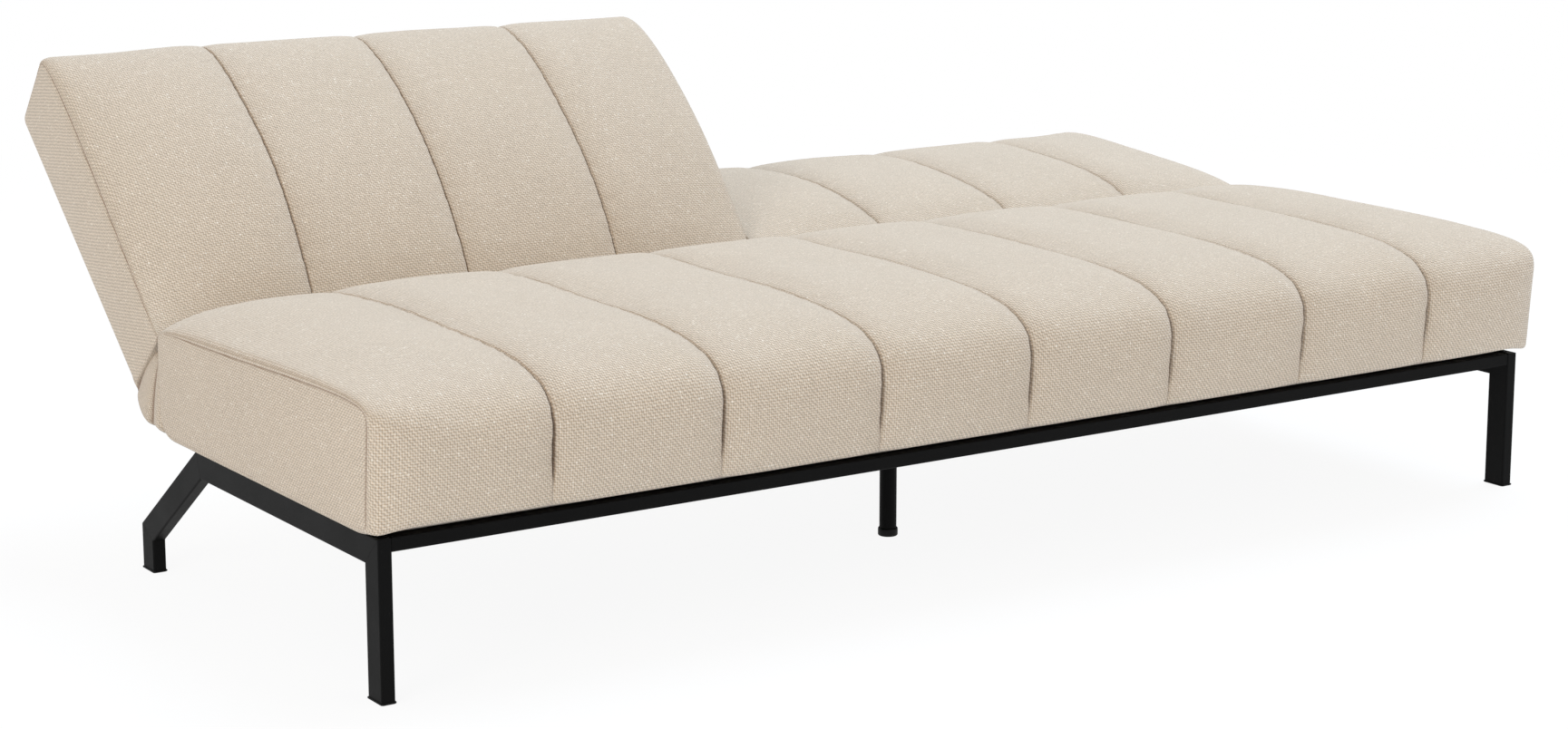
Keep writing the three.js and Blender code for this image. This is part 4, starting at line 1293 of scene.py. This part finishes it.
def roundCup(name, node):
    # the cup on the middle leg, turned from a profile of radius and height
    low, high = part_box(node)
    centre, outer = (low + high) / 2, (high.x - low.x) / 2
    bore, top, floor, steps = cup["bore"], cup["height"], cup["floor"], cup["steps"]
    profile = [(outer - 0.003, 0), (outer - 0.001, 0.0005), (outer, 0.0018), (outer, top - 0.0020),
               (outer - 0.0003, top - 0.0006), (outer - 0.0009, top), (bore, top), (bore, floor)]
    points = [(centre.x, centre.y, low.z)]
    for radius, height in profile:
        for k in range(steps):
            angle = k * math.tau / steps
            points.append((
                centre.x + radius * math.cos(angle),
                centre.y + radius * math.sin(angle),
                low.z + height,
            ))
    points.append((centre.x, centre.y, low.z + floor))
    last = len(points) - 1 - steps
    faces = (1 + ringFaces(steps, len(profile))).tolist()
    for k in range(steps):
        after = (k + 1) % steps
        faces += [(0, 1 + after, 1 + k), (last + k, last + after, last + steps)]
    made = meshObject(name, points, faces, materials["black_plastic"])
    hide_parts(node)
    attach(made, "base")


roundCup("middle_leg_cup", "middle_foot_cap")
print("glides made")


# Carried-over frame, timber and hinge parts get their finish
slotWords = {
    "black_steel": ("leg", "rail", "strut", "foot", "beam"),
    "black_plastic": ("cap",),
    "zinc_steel": ("plate", "arm", "bolt", "catch"),
    "plywood": ("deck",),
    "black_cloth": ("dust_cloth",),
    "beige_fabric": ("cushion", "gusset", "cover"),
    "pine": ("board",),
}
for name, node in frame["nodes"].items():
    finish = next(slot for slot, words in slotWords.items() if name.endswith(words))
    if finish == "pine":
        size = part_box(name)[1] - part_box(name)[0]
        finish = "pine" if size.x > size.y else "pine_side"
    for slot in node.material_slots:
        slot.material = materials[finish]
print("frame finished")


# Floor, light and camera
stage = {
    "floorSize": 60.0,
    "floorTone": 0.92,
    "floorGlow": 0.92,       # how much of the floor that the camera sees is plain white near the sofa
    "floorNear": 1.6,        # from here out to floorFar it turns all white
    "floorFar": 4.0,
    "ambient": 0.62,
    "lamps": [
        # name, place, aim, size, watts, tint
        ("overhead", (4.2, 1.5, 9.4), (0, 0, 0.3), 7.2, 965, (0.757, 0.915, 1.10)),
        ("key", (-5.2, -2.6, 2.6), (0, 0, 0.3), 2.8, 107, (1.0, 0.96, 0.92)),
        ("fill", (2.6, -5.2, 1.8), (0, 0, 0.3), 3.0, 33, (1.0, 0.95, 0.92)),
    ],
    "cameraPlace": (-2.6369, -3.9333, 1.2424),
    "cameraAngles": (78.794, 0, -33.734),
    "lens": 73.638,
    "shiftY": -0.04,
}


def whiteBackground():
    # plain white where it is seen, and a weaker white as light
    paint = Paint("studio", "worlds")
    white = (1, 1, 1, 1)
    lit = paint.node("Background", inputs={"Color": white, "Strength": stage["ambient"]})
    shown = paint.node("Background", inputs={"Color": white})
    mixed = paint.node("MixShader", inputs={0: paint.seen(), 1: lit, 2: shown})
    paint.node("OutputWorld", inputs={"Surface": mixed})
    scene.world = paint.owner


def floorPaint():
    paint = Paint("studio_floor")
    tone = stage["floorTone"]
    plain = paint.node("BsdfDiffuse", inputs={"Color": (tone, tone, tone, 1)})
    glow = paint.node("Emission", inputs={"Color": (1, 1, 1, 1), "Strength": 1.0})
    across, along, _ = paint.axes(paint.place("Object"))
    away = paint.maths("SQRT", across * across + along * along)
    white = paint.between(away, stage["floorNear"], stage["floorFar"])
    glowing = stage["floorGlow"] + white * (1 - stage["floorGlow"])
    mixed = paint.node("MixShader", inputs={0: paint.seen() * glowing, 1: plain, 2: glow})
    paint.node("OutputMaterial", inputs={"Surface": mixed})
    return paint.owner


def makeStage():
    whiteBackground()
    half = stage["floorSize"] / 2
    corners = [(-half, -half, 0), (half, -half, 0), (half, half, 0), (-half, half, 0)]
    floor = meshObject("floor", corners, [(0, 1, 2, 3)], floorPaint())
    for name, place, aim, size, watts, tint in stage["lamps"]:
        lamp = bpy.data.lights.new(name, "AREA")
        lamp.shape = "DISK"
        lamp.size = size
        lamp.energy = watts
        lamp.color = tint
        holder = bpy.data.objects.new(name, lamp)
        holder.location = place
        holder.rotation_euler = (Vector(aim) - Vector(place)).to_track_quat("-Z", "Y").to_euler()
        scene.collection.objects.link(holder)
    camera = bpy.data.cameras.new("photo_camera")
    camera.lens = stage["lens"]
    camera.sensor_width = 36
    camera.shift_y = stage["shiftY"]
    camera.clip_end = 200
    holder = bpy.data.objects.new("photo_camera", camera)
    holder.location = stage["cameraPlace"]
    holder.rotation_euler = Euler([math.radians(angle) for angle in stage["cameraAngles"]])
    scene.collection.objects.link(holder)
    scene.camera = holder
    scene.view_settings.view_transform = "Standard"


makeStage()
print("stage set")
